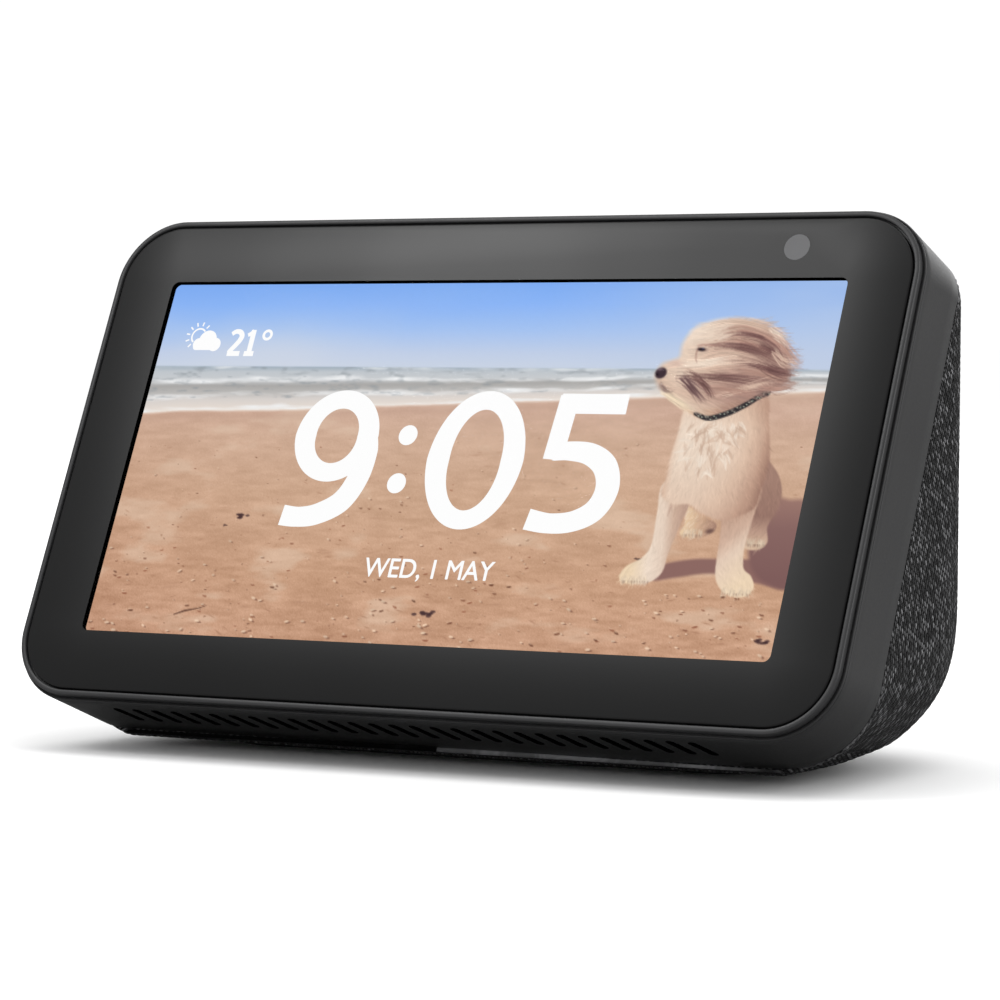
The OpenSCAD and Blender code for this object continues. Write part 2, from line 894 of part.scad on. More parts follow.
module speaker_spider() {
    color("#c2a063") at_speaker() translate([0, 0, 20.6]) tube(14.6, coil_r + 0.46, 0.35);
}

module speaker_leads() {
    v = board_v + board_t + 1.2;
    over_box = [-4, box_top + 1.4];
    color("#a33a33") for (x = [-41, -39])
        ribbon([[3, box_top + 0.5], over_box, in_case(v, 1), in_case(v, -2.95)], x, 0.9, 0.9);
}

// ---- Rear ports ----

module io_board() {
    color("#1d4d3a") difference() {
        union() {
            block([15, 44.2], [11.5, jack_y], [io_z, io_z + io_t]);
            block([22, 33], [io_flex_y, io_flex_y + 3], [io_z + io_t - eps, io_z + io_t + 1.2]);
        }
        for (p = io_points) translate([p[0], p[1], io_z - 1]) cylinder(r = 1.1, h = 4);
    }
}

// A hole of radius r bored forwards into a jack from its mouth
module mouth(x, z, r, depth) {
    translate([x, jack_y + eps, z]) rotate([90, 0, 0]) cylinder(r = r, h = depth + eps);
}

module dc_jack() {
    color("#1a1a1b") difference() {
        block([dc_x - 3.5, dc_x + 3.5], [17.5, jack_y], [io_z + io_t + eps, dc_z + 3.2]);
        mouth(dc_x, dc_z, dc_r, 9);
    }
}

module dc_pin() {
    color("#c9a24a") translate([dc_x, jack_y - 1, dc_z]) rotate([90, 0, 0]) cylinder(r = 0.8, h = 8);
}

module usb_port() {
    half = 3.8;
    wall = 0.35;
    z0 = io_z + io_t + eps;
    color("#b9bbbd") difference() {
        block([usb_x - half, usb_x + half], [23, jack_y], [z0, z0 + 2.7]);
        block([usb_x - half + wall, usb_x + half - wall], [23.5, far], [z0 + wall, z0 + 2.7 - wall]);
    }
}

module usb_tongue() {
    z0 = io_z + io_t + 1.3;
    color("#1a1a1b") block([usb_x - 1.9, usb_x + 1.9], [23.5, jack_y - 0.8], [z0, z0 + 0.6]);
}

module audio_jack() {
    color("#1a1a1b") difference() {
        block([audio_x - 3.1, audio_x + 3.1], [16, jack_y], [io_z + io_t + eps, audio_z + 2.8]);
        mouth(audio_x, audio_z, audio_r, 11);
    }
}

module port_plate() {
    mid_x = (port_x0 + port_x1) / 2;
    mid_z = (port_z0 + port_z1) / 2;
    color("#2b2b2d") slab(port_plate_y, port_plate_t) difference() {
        translate([mid_x, mid_z])
            rounded(port_x1 - port_x0 - 0.7, port_z1 - port_z0 - 0.7, 1.65);
        translate([dc_x, dc_z]) circle(2.9);
        translate([usb_x, usb_z]) rounded(8.6, 3.4, 0.8);
        translate([audio_x, audio_z]) circle(2.9);
    }
}

cover_glass();
border_film();
touch_sensor();
lcd_panel();
backlight_unit();
display_tray();
front_bezel();
front_housing();
slot_mesh();
chassis_plate();
chassis_screws();
board_standoffs();
main_board();
board_screws();
processor();
thermal_pad();
main_shield();
radio_shield();
board_connectors();
power_coils();
display_flex();
upper_flexes();
io_flex();
button_board();
tact_switches();
mute_button();
mute_plunger();
volume_down_button();
volume_down_plunger();
volume_up_button();
volume_up_plunger();
mic_modules();
mic_gaskets();
camera_module();
camera_lens();
camera_board();
shutter_slider();
antennas();
antenna_cables();
rear_shell();
fabric_cover();
foot_pad();
case_screws();
speaker_box();
speaker_screws();
speaker_gasket();
speaker_basket();
speaker_magnet();
speaker_cone();
voice_coil();
speaker_surround();
speaker_spider();
speaker_leads();
io_board();
dc_jack();
dc_pin();
usb_port();
usb_tongue();
audio_jack();
port_plate();
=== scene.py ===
import bpy
import bmesh
import math
import numpy as np
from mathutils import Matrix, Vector


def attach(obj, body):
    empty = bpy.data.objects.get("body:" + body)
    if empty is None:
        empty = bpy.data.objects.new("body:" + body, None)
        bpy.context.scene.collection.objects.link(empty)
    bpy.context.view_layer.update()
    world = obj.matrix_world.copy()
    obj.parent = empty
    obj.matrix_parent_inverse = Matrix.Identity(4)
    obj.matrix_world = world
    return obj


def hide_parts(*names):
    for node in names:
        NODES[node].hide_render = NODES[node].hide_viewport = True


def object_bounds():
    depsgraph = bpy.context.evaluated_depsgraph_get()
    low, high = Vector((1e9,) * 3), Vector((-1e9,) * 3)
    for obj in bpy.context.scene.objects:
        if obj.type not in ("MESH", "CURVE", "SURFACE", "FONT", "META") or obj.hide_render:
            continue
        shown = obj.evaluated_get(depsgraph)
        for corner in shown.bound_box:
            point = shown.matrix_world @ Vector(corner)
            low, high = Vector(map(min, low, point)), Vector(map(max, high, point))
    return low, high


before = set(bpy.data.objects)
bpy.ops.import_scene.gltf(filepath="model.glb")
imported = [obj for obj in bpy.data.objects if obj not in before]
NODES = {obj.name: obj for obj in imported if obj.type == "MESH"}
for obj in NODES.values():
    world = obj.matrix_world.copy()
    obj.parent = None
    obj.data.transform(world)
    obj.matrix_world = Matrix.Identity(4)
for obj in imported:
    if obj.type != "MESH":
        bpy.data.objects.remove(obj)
CAD_BOX = [list(corner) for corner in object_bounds()]
MM = 0.001
rng = np.random.default_rng(7)

# ---------------------------------------------------------------- the case's own sizes, as in the CAD

LEAN = math.radians(25)
CL, SL = math.cos(LEAN), math.sin(LEAN)
LOW, HIGH = CAD_BOX
BODY_W = (HIGH[0] - LOW[0]) / MM
BODY_D = (HIGH[1] - LOW[1]) / MM
BODY_H = (HIGH[2] - LOW[2]) / MM
PANEL_H = 85.4
FACE_HALF = PANEL_H / 2 - 0.35
PANEL_Y = LOW[1] / MM + FACE_HALF * SL
PANEL_Z = BODY_H - FACE_HALF * CL
BAND_D = 15.2
CORNER_R = 11.5
SEAM_SIDE, SEAM_TOP, SEAM_BOTTOM = 0.8, 1.1, 0.4  # how far the band has tapered in at the seam
SEAM_R_LOW, SEAM_R_HIGH = 13.5, 7.5
SCREEN_W, SCREEN_H = 124.1, 62.06
CAMERA_X, CAMERA_Z = 52.25, 36.2
BASE_Z = 1.5
KEY_V = 7.6
KEYS = (("mute", -17, "mute"), ("volume_down", 0, "minus"), ("volume_up", 17, "plus"))
MIC_X = 27
SHUTTER_X, SHUTTER_V = 47.5, 7.2
FOOT_Y = 2


def panel(x, v, z):
    """A place on the leaning panel, in the row frame."""
    return Vector((x, PANEL_Y + v * CL + z * SL, PANEL_Z - v * SL + z * CL)) * MM


def rounded(hw, hh, r, n=14, cx=0.0, cz=0.0):
    """Points round a rectangle with round corners, the same number for any size."""
    out = []
    for k, (sx, sz) in enumerate(((1, -1), (1, 1), (-1, 1), (-1, -1))):
        for i in range(n + 1):
            a = math.radians(-90 + 90 * k + 90 * i / n)
            out.append((cx + sx * (hw - r) + r * math.cos(a), cz + sz * (hh - r) + r * math.sin(a)))
    return out


def outline(inset, n=14):
    return rounded(BODY_W / 2 - inset, PANEL_H / 2 - inset, CORNER_R - inset, n)


def seam_outline(inset, n=14):
    """The band's outline at the seam, its upper corners tighter than its lower ones."""
    hw = BODY_W / 2 - SEAM_SIDE - inset
    low, high = -PANEL_H / 2 + SEAM_BOTTOM + inset, PANEL_H / 2 - SEAM_TOP - inset
    out = []
    for k, (sx, cz, r) in enumerate(((1, low, SEAM_R_LOW), (1, high, SEAM_R_HIGH),
                                     (-1, high, SEAM_R_HIGH), (-1, low, SEAM_R_LOW))):
        r -= inset
        cz += r if cz == low else -r
        for i in range(n + 1):
            a = math.radians(-90 + 90 * k + 90 * i / n)
            out.append((sx * (hw - r) + r * math.cos(a), cz + r * math.sin(a)))
    return out


def pill(length, r, n=10):
    return rounded(length / 2, r, r - 1e-4, n)


def round_shape(r):
    """A circle that grows with the profile it is stacked by."""
    return lambda grow: rounded(r + grow, r + grow, r - 0.001 + grow, 6)


def arc_points(cx, cz, rx, rz, degrees):
    return [(cx + rx * math.cos(a), cz + rz * math.sin(a)) for a in np.radians(degrees)]


def catmull(p0, p1, p2, p3, t):
    """A place between p1 and p2 on the smooth curve through four points."""
    return 0.5 * (2 * p1 + (p2 - p0) * t + (2 * p0 - 5 * p1 + 4 * p2 - p3) * t * t
                  + (3 * p1 - p0 - 3 * p2 + p3) * t ** 3)


# ---------------------------------------------------------------- materials


class Nodes:
    """A material's node tree with short ways to add nodes."""

    def __init__(self, name):
        self.mat = bpy.data.materials.new(name)
        self.mat.use_nodes = True
        self.nt = self.mat.node_tree
        self.bsdf = self.nt.nodes["Principled BSDF"]
        self.coord = self.add("ShaderNodeTexCoord").outputs["Object"]

    def add(self, kind, **props):
        node = self.nt.nodes.new(kind)
        for key, value in props.items():
            setattr(node, key, value)
        return node

    def link(self, a, b):
        self.nt.links.new(a, b)

    def math(self, op, a, b=None, c=None):
        node = self.add("ShaderNodeMath", operation=op)
        for i, value in enumerate((a, b, c)):
            if value is None:
                continue
            if isinstance(value, (int, float)):
                node.inputs[i].default_value = value
            else:
                self.link(value, node.inputs[i])
        return node.outputs[0]

    def noise(self, scale, detail=3.0, rough=0.55, coord=None):
        node = self.add("ShaderNodeTexNoise")
        node.inputs["Scale"].default_value = scale
        node.inputs["Detail"].default_value = detail
        node.inputs["Roughness"].default_value = rough
        self.link(coord or self.coord, node.inputs["Vector"])
        return node.outputs["Fac"]

    def span(self, fac, lo, hi, a=0.0, b=1.0):
        node = self.add("ShaderNodeMapRange")
        self.link(fac, node.inputs["Value"])
        for key, value in (("From Min", a), ("From Max", b), ("To Min", lo), ("To Max", hi)):
            node.inputs[key].default_value = value
        return node.outputs["Result"]

    def mix(self, fac, a, b):
        node = self.add("ShaderNodeMix", data_type="RGBA")
        for key, value in ((0, fac), (6, a), (7, b)):
            if isinstance(value, (int, float)):
                node.inputs[key].default_value = value
            elif isinstance(value, (tuple, list)):
                node.inputs[key].default_value = (*value[:3], 1.0)
            else:
                self.link(value, node.inputs[key])
        return node.outputs[2]

    def bump(self, height, strength, distance):
        node = self.add("ShaderNodeBump")
        node.inputs["Strength"].default_value = strength
        node.inputs["Distance"].default_value = distance
        self.link(height, node.inputs["Height"])
        self.link(node.outputs["Normal"], self.bsdf.inputs["Normal"])

    def set(self, **values):
        for key, value in values.items():
            self.bsdf.inputs[key.replace("_", " ")].default_value = value


def shade(color, k):
    return tuple(min(1.0, c * k) for c in color[:3])


def moulded(name, color, rough, grain=2600, strength=0.25, spread=0.12, **values):
    """Moulded plastic or rubber: fine spark-eroded grain, slow colour and gloss variation."""
    m = Nodes(name)
    fine = m.noise(grain, 4, 0.6)
    broad = m.noise(28, 2, 0.5)
    m.link(m.mix(m.span(broad, 0, 1, 0.3, 0.7), shade(color, 1 - spread), shade(color, 1 + spread)),
           m.bsdf.inputs["Base Color"])
    m.link(m.span(m.math("ADD", m.math("MULTIPLY", fine, 0.6), m.math("MULTIPLY", broad, 0.4)),
                  rough - 0.06, rough + 0.06, 0.3, 0.7), m.bsdf.inputs["Roughness"])
    m.bump(fine, strength, 0.00003)
    m.set(**values)
    return m.mat


def metal(name, color, rough, brushed=True, **values):
    """Sheet or turned metal with a fine lay and faint handling marks."""
    m = Nodes(name)
    place = m.add("ShaderNodeMapping")
    place.inputs["Scale"].default_value = (60, 1800, 1800) if brushed else (900, 900, 900)
    m.link(m.coord, place.inputs["Vector"])
    lay = m.noise(1.0, 3, 0.6, place.outputs["Vector"])
    marks = m.noise(70, 3, 0.6)
    m.link(m.mix(marks, shade(color, 0.86), shade(color, 1.08)), m.bsdf.inputs["Base Color"])
    m.link(m.span(m.math("ADD", m.math("MULTIPLY", lay, 0.5), m.math("MULTIPLY", marks, 0.5)),
                  rough - 0.09, rough + 0.09, 0.3, 0.7), m.bsdf.inputs["Roughness"])
    m.bump(lay, 0.15, 0.00002)
    m.set(Metallic=1.0, **values)
    return m.mat


def circuit(name):
    """Green solder mask over fine copper tracks."""
    m = Nodes(name)
    brick = m.add("ShaderNodeTexBrick")
    for key, value in (("Scale", 420.0), ("Mortar Size", 0.03), ("Brick Width", 1.6), ("Row Height", 0.35)):
        brick.inputs[key].default_value = value
    m.link(m.coord, brick.inputs["Vector"])
    cloud = m.noise(90, 3)
    mask = m.mix(cloud, (0.008, 0.055, 0.03), (0.014, 0.085, 0.05))
    m.link(m.mix(brick.outputs["Fac"], mask, (0.05, 0.19, 0.1)), m.bsdf.inputs["Base Color"])
    m.link(m.span(cloud, 0.28, 0.4), m.bsdf.inputs["Roughness"])
    m.bump(brick.outputs["Fac"], 0.3, 0.00004)
    return m.mat


def clear(name, tint, rough, ior=1.1, through=1.0):
    """Clear glass or film; its faint waviness is in the normal."""
    m = Nodes(name)
    wave = m.noise(40, 1)
    m.bump(wave, 0.02, 0.00002)
    m.set(Base_Color=(*tint, 1), Roughness=rough, Transmission_Weight=through, IOR=ior)
    return m.mat


def glass_border():
    """Glass over black print: smooth satin, with the faintest dust."""
    m = Nodes("glass_border")
    dust = m.noise(5200, 2, 0.4)
    broad = m.noise(16, 2, 0.5)
    m.link(m.mix(broad, (0.006, 0.006, 0.0063), (0.008, 0.008, 0.0083)), m.bsdf.inputs["Base Color"])
    m.link(m.span(broad, 0.30, 0.36, 0.35, 0.65), m.bsdf.inputs["Roughness"])
    m.bump(dust, 0.03, 0.00001)
    m.set(IOR=1.52)
    return m.mat


RIB, LOOP = 0.66, 1.2  # millimetres: rib to rib, and the length of one loop along a rib
RIB_LEAN = math.radians(22)


def fabric():
    """Heathered charcoal twill: leaning ribs of short loops, each loop its own grey, with stray pale fibres, and
    painted shade in the grooves between the loops.
    """
    m = Nodes("fabric")
    uv = m.add("ShaderNodeUVMap", uv_map="weave").outputs["UV"]
    sep = m.add("ShaderNodeSeparateXYZ")
    m.link(uv, sep.inputs[0])
    wob = m.noise(55, 2)
    u = m.math("ADD", sep.outputs["X"], m.math("MULTIPLY", wob, 0.5))
    w = sep.outputs["Y"]
    s = m.math("DIVIDE", m.math("SUBTRACT", m.math("MULTIPLY", u, math.cos(RIB_LEAN)),
                                m.math("MULTIPLY", w, math.sin(RIB_LEAN))), RIB)
    row = m.math("FLOOR", s)
    t = m.math("ADD", m.math("DIVIDE", m.math("ADD", m.math("MULTIPLY", w, math.cos(RIB_LEAN)),
                                         m.math("MULTIPLY", u, math.sin(RIB_LEAN))), LOOP),
               m.math("MULTIPLY", row, 0.41))
    across = m.math("POWER", m.math("ABSOLUTE", m.math("SINE", m.math("MULTIPLY", s, math.pi))), 0.7)
    along = m.math("POWER", m.math("ABSOLUTE", m.math("SINE", m.math("MULTIPLY", t, math.pi))), 0.5)
    cell = m.add("ShaderNodeCombineXYZ")
    m.link(row, cell.inputs[0])
    m.link(m.math("FLOOR", t), cell.inputs[1])
    white = m.add("ShaderNodeTexWhiteNoise", noise_dimensions="2D")
    m.link(cell.outputs[0], white.inputs["Vector"])
    pick = m.math("POWER", white.outputs["Value"], 2.2)
    strand = m.add("ShaderNodeCombineXYZ")
    m.link(m.math("MULTIPLY", s, 9.0), strand.inputs[0])
    m.link(m.math("MULTIPLY", t, 1.3), strand.inputs[1])
    fibre = m.noise(1.0, 4, 0.7, strand.outputs[0])
    height = m.math("ADD", m.math("MULTIPLY", across, along), m.math("MULTIPLY", fibre, 0.4))
    loop = m.mix(pick, (0.018, 0.018, 0.019), (0.46, 0.46, 0.475))
    lit = m.mix(m.span(fibre, 0, 1, 0.3, 0.6), (0.02, 0.02, 0.021), loop)
    # painted shade: the colour goes near-black in the grooves between loops
    shadow = m.mix(m.span(m.math("MULTIPLY", across, along), 0, 1, 0.4, 0.85), (0.001, 0.001, 0.0011), lit)
    m.link(shadow, m.bsdf.inputs["Base Color"])
    m.link(m.span(fibre, 0.78, 0.95), m.bsdf.inputs["Roughness"])
    m.bump(height, 1.0, 0.0005)
    m.set(Sheen_Weight=0.1, Sheen_Roughness=0.35, Specular_IOR_Level=0.15)
    return m.mat


def hem_cord():
    m = Nodes("hem_cord")
    fibre = m.noise(2600, 4, 0.7)
    m.link(m.mix(m.span(m.noise(900, 2), 0, 1, 0.4, 0.62), (0.008, 0.008, 0.009), (0.17, 0.17, 0.175)),
           m.bsdf.inputs["Base Color"])
    m.bump(fibre, 0.6, 0.0001)
    m.set(Roughness=0.9, Sheen_Weight=0.3, Sheen_Roughness=0.4, Specular_IOR_Level=0.2)
    return m.mat


M = {
    "rim": moulded("rim", (0.04, 0.04, 0.0415), 0.36, strength=0.18),
    "band": moulded("band", (0.034, 0.034, 0.035), 0.42, strength=0.3),
    "border": glass_border(),
    "window": clear("window", (1, 1, 1), 0.0, 1.02),
    "button": moulded("button", (0.05, 0.05, 0.052), 0.5),
    "symbol": moulded("symbol", (0.32, 0.32, 0.33), 0.5),
    "shutter": moulded("shutter", (0.30, 0.30, 0.305), 0.5),
    "black": moulded("black", (0.012, 0.012, 0.0125), 0.6),
    # Near-black with almost no gloss: the black print behind the glass; painted shade on the walls of the speaker
    # slots; and the grille mesh behind the slots, dark in itself and darkened further as painted shade.
    "black_and_slot_shade": moulded("black_and_slot_shade", (0.0015, 0.0015, 0.0015), 0.9, Specular_IOR_Level=0.05),
    "eye": clear("eye", (0.30, 0.30, 0.31), 0.35, 1.3, 0.5),
    "rubber": moulded("rubber", (0.03, 0.03, 0.031), 0.75, grain=1800, strength=0.5, spread=0.2),
    "soft": moulded("soft", (0.03, 0.033, 0.038), 0.8, grain=1500, strength=0.4),
    "jack": moulded("jack", (0.02, 0.02, 0.021), 0.45),
    "ivory": moulded("ivory", (0.6, 0.57, 0.47), 0.45),
    "white": moulded("white", (0.75, 0.75, 0.73), 0.4),
    "chip": moulded("chip", (0.02, 0.02, 0.022), 0.55, grain=3200),
    "pad": moulded("pad", (0.2, 0.27, 0.36), 0.85, grain=1400, strength=0.5),
    "film": moulded("film", (0.42, 0.18, 0.035), 0.25, strength=0.1),
    "panel": moulded("panel", (0.02, 0.024, 0.03), 0.2, strength=0.05),
    "paper": moulded("paper", (0.02, 0.02, 0.022), 0.85, grain=900, strength=0.8, spread=0.25),
    "spider": moulded("spider", (0.42, 0.29, 0.11), 0.85, grain=1100, strength=0.9),
    "wire": moulded("wire", (0.32, 0.02, 0.015), 0.5),
    "steel": metal("steel", (0.5, 0.51, 0.53), 0.35),
    "zinc": metal("zinc", (0.46, 0.47, 0.5), 0.3, False),
    "alloy": metal("alloy", (0.62, 0.63, 0.65), 0.4),
    "brass": metal("brass", (0.72, 0.5, 0.2), 0.3, False),
    "nickel": metal("nickel", (0.68, 0.66, 0.62), 0.2, False),
    "copper": metal("copper", (0.6, 0.26, 0.12), 0.35),
    "painted": moulded("painted", (0.018, 0.018, 0.02), 0.4, grain=1800),
    "circuit": circuit("circuit"),
    "clear_film": clear("clear_film", (1, 1, 1), 0.0, 1.02),
    "lens": clear("lens", (0.55, 0.6, 0.8), 0.0, 1.5),
    "fabric": fabric(),
    "hem": hem_cord(),
}

# ---------------------------------------------------------------- mesh helpers


def add_object(name, data):
    ob = bpy.data.objects.new(name, data)
    bpy.context.scene.collection.objects.link(ob)
    return ob


def to_mesh(name, bm):
    me = bpy.data.meshes.new(name)
    bm.to_mesh(me)
    bm.free()
    return me


def smooth(me, sharp=32):
    """Smooth shading with the edges above an angle kept sharp."""
    me.shade_smooth()
    me.set_sharp_from_angle(angle=math.radians(sharp))


def finish_mesh(name, bm, mats, body="case", replaces=(), sharp=32):
    """Turns a bmesh into a piece of the object."""
    bmesh.ops.recalc_face_normals(bm, faces=bm.faces)
    me = to_mesh(name, bm)
    for mat in mats:
        me.materials.append(mat)
    smooth(me, sharp)
    ob = add_object(name, me)
    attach(ob, body)
    if replaces:
        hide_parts(*replaces)
    return ob


def loft(bm, rings, closed=False, caps=True, mat=0):
    """Quads between rings of equal length, with the ends capped or the last ring joined to the first."""
    rows = [[bm.verts.new(p) for p in ring] for ring in rings]
    n = len(rows[0])
    pairs = list(zip(rows, rows[1:])) + ([(rows[-1], rows[0])] if closed else [])
    for a, b in pairs:
        for i in range(n):
            bm.faces.new((a[i], a[(i + 1) % n], b[(i + 1) % n], b[i])).material_index = mat
    if caps and not closed:
        bm.faces.new(rows[0]).material_index = mat
        bm.faces.new(rows[-1]).material_index = mat
    return rows


def flat_rings(points, profile):
    """Rings of an x-z outline through the depth: profile is (v, inset) pairs."""
    return [[panel(x, v, z) for x, z in points(inset)] for v, inset in profile]


def up_rings(shape, x, v, profile):
    """Rings of an x-v outline stacked up the panel: profile is (z, grow) pairs."""
    return [[panel(x + px, v + pv, z) for px, pv in shape(grow)] for z, grow in profile]


def soft_box(bm, place, x, v, z, r=0.15, mat=0):
    """A box with rounded edges between two corners."""
    hx, hv = (x[1] - x[0]) / 2, (v[1] - v[0]) / 2
    cx, cv = (x[0] + x[1]) / 2, (v[0] + v[1]) / 2
    r = min(r, hx * 0.45, hv * 0.45, (z[1] - z[0]) * 0.45)
    rings = []
    for zz, g in ((z[0], r), (z[0] + 0.3 * r, 0.3 * r), (z[0] + r, 0), (z[1] - r, 0),
                  (z[1] - 0.3 * r, 0.3 * r), (z[1], r)):
        rings.append([place(cx + a, cv + b, zz) for a, b in rounded(hx - g, hv - g, max(r - g, 0.02), 3)])
    loft(bm, rings, mat=mat)


def apply_modifiers(ob):
    """Bakes the object's modifiers into its mesh."""
    dg = bpy.context.evaluated_depsgraph_get()
    me = bpy.data.meshes.new_from_object(ob.evaluated_get(dg))
    ob.modifiers.clear()
    ob.data = me


def loose_object(name, bm):
    """A helper mesh that isn't part of the object."""
    bmesh.ops.recalc_face_normals(bm, faces=bm.faces)
    return add_object(name, to_mesh(name, bm))


def boolean(ob, cutter, op):
    mod = ob.modifiers.new("b", "BOOLEAN")
    mod.operation = op
    mod.solver = "EXACT"
    mod.object = cutter
    apply_modifiers(ob)
    bpy.data.objects.remove(cutter)


# ---------------------------------------------------------------- rim, band and glass


def make_rim():
    bm = bmesh.new()
    profile = [(1.15, 0.5), (0.3, 0.5), (0.13, 0.52), (0.04, 0.58), (0.0, 0.7), (0.0, 1.18), (0.03, 1.27),
               (0.1, 1.33), (0.2, 1.35), (0.8, 1.35), (0.8, 1.5), (1.23, 1.5), (1.23, 3.4), (2.2, 3.4),
               (2.2, 1.15), (1.2, 1.15), (1.2, 0.55)]
    loft(bm, flat_rings(lambda i: outline(i, 20), profile), closed=True)
    finish_mesh("rim", bm, [M["rim"]], replaces=["front_bezel"])


def band_ring(v, inset):
    t = (v - 1.35) / (BAND_D - 1.35)
    return [panel(a[0] + (b[0] - a[0]) * t, v, a[1] + (b[1] - a[1]) * t)
            for a, b in zip(outline(inset, 20), seam_outline(inset, 20))]


SLOTS = [(-54.4 + 3.72 * i + 0.65, 7.2) for i in range(29)]
SLOT_ANGLE = math.atan2(4.4, 1.3)


def slot_shape(cx, cv, grow=0.0):
    c, s = math.cos(SLOT_ANGLE), math.sin(SLOT_ANGLE)
    return [(cx + px * c - pv * s, cv + px * s + pv * c)
            for px, pv in pill(math.hypot(4.4, 1.3) + 1.4 + 2 * grow, 0.7 + grow, 8)]


def make_band():
    profile = [(v, 0.0) for v in (14.96, 12, 9, 6, 3.5, 1.98)]
    profile += [(1.92, 0.03), (1.86, 0.12), (1.78, 0.12), (1.7, 0.02), (1.6, 0.0), (1.42, 0.0), (1.3, 0.04),
                (1.25, 0.12), (1.25, 0.2), (1.3, 0.28), (1.42, 0.32), (1.6, 0.33), (1.6, 0.95), (1.66, 1.0),
                (2.5, 1.0), (2.5, 3.4), (3.8, 3.4), (3.8, 2.0), (9, 2.0), (15.2, 2.0), (15.2, 0.24),
                (15.14, 0.07)]
    bm = bmesh.new()
    loft(bm, [band_ring(v, i) for v, i in profile], closed=True)
    cut = bmesh.new()
    # The slot cutters carry material 1, so the slot walls come out near-black: painted shade inside the slots.
    for cx, cv in SLOTS:
        flare = [(-PANEL_H / 2 - 1, 0.12), (-PANEL_H / 2 + 0.36, 0.12), (-PANEL_H / 2 + 0.46, 0.02),
                 (-PANEL_H / 2 + 3.4, 0.02)]
        loft(cut, [[panel(x, v, z) for x, v in slot_shape(cx, cv, g)] for z, g in flare], mat=1)
    top = PANEL_H / 2

    def opening(shape, x, v, straight, flare):
        loft(cut, up_rings(shape, x, v, [(38, 0), (top - straight, 0), (top - 0.45, flare), (top + 1, flare)]))

    for _, x, _ in KEYS:
        opening(lambda g: pill(10.4 + 2 * g, 2.4 + g, 12), x, KEY_V, 0.75, 0.28)
    for x in (-MIC_X, MIC_X):
        opening(round_shape(0.55), x, KEY_V, 0.7, 0.2)
    opening(lambda g: pill(11 + 2 * g, 1.5 + g, 12), SHUTTER_X - 3, SHUTTER_V, 0.75, 0.25)
    cutter = loose_object("cutter", cut)
    ob = finish_mesh("band", bm, [M["band"], M["black_and_slot_shade"]], replaces=["front_housing"])
    boolean(ob, cutter, "DIFFERENCE")
    # The posts, ledge and tongue inside come from the CAD solid
    inner = bmesh.new()
    loft(inner, [[panel(x, v, z) for x, z in rounded(71.9, 40.6, 9, 8)] for v in (3.0, 40)])
    keep = loose_object("keep", inner)
    ribs = add_object("band_ribs", NODES["front_housing"].data.copy())
    boolean(ribs, keep, "INTERSECT")
    ribs.data.materials.clear()
    ribs.data.materials.append(M["band"])
    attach(ribs, "case")
    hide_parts("front_housing")
    for me in (ob.data, ribs.data):
        smooth(me)


def ring_edges(bm, pts):
    vs = [bm.verts.new(p) for p in pts]
    return vs, [bm.edges.new((vs[i], vs[(i + 1) % len(vs)])) for i in range(len(vs))]


def make_glass():
    """Cover glass: one solid, satin black print round a clear screen window and a clear camera window."""
    bm = bmesh.new()
    edge = [(1.15, 1.65), (0.3, 1.65), (0.18, 1.69), (0.09, 1.79), (0.05, 1.95)]
    rows = loft(bm, flat_rings(lambda i: outline(i, 20), edge), caps=False)
    screen = rounded(SCREEN_W / 2, SCREEN_H / 2, 1.2, 6)
    for v, row, r in ((0.05, rows[-1], 2.15), (1.15, rows[0], 3.1)):
        eye = rounded(r, r, r - 0.001, 10, CAMERA_X, CAMERA_Z)
        outer = [bm.edges.get((row[i], row[(i + 1) % len(row)])) for i in range(len(row))]
        sv, se = ring_edges(bm, [panel(x, v, z) for x, z in screen])
        ev, ee = ring_edges(bm, [panel(x, v, z) for x, z in eye])
        before = set(bm.faces)
        bmesh.ops.triangle_fill(bm, use_beauty=True, edges=outer + se + ee)
        new = set(bm.faces) - before
        for f in [f for f in new if all(vert in sv for vert in f.verts) or all(vert in ev for vert in f.verts)]:
            bm.faces.remove(f)
        bm.faces.new(sv).material_index = 1
        bm.faces.new(ev).material_index = 2 if v < 1 else 1
    finish_mesh("glass", bm, [M["border"], M["window"], M["eye"]], replaces=["cover_glass"])


make_rim()
make_band()
make_glass()

# ---------------------------------------------------------------- fabric rear


def seam_half(z):
    """Half the band's width at the seam, at height z."""
    w = (z - PANEL_Z + BAND_D * SL) / CL
    r = SEAM_R_HIGH if w > 0 else SEAM_R_LOW
    edge = PANEL_H / 2 - SEAM_TOP - w if w > 0 else w + PANEL_H / 2 - SEAM_BOTTOM
    drop = min(max(r - edge, 0), r)
    return BODY_W / 2 - SEAM_SIDE - r + math.sqrt(r * r - drop * drop)


def tuck(z):
    return 11 * ((32 - z) / 30.5) ** 4 if z < 32 else 0.0


def rear_shape(z):
    """Rearmost y, side x and corner radius of the rear body at height z."""
    up = max(z - 27, 0)
    return (BODY_D / 2 - 0.0095 * up ** 2 - tuck(z), min(73.1 - tuck(z), seam_half(z) - 0.1),
            max(33 - 0.0125 * up ** 2, 4))


def weave_uv(p, normal):
    """Millimetres round the body from the middle of the back, and up."""
    x, y, z = (c / MM for c in p)
    back, side, r = rear_shape(min(max(z, BASE_Z), 79))
    r = min(r, 33)
    cx, cy = side - r, back - r
    ax = abs(x)
    if ax <= cx and y > cy:
        u = ax
    elif y <= cy:
        u = cx + r * math.pi / 2 + (cy - y)
    else:
        u = cx + r * math.atan2(ax - cx, max(y - cy, 1e-6))
    if normal[2] < -0.8:
        return x, -y
    return (u if x > 0 else -u), z


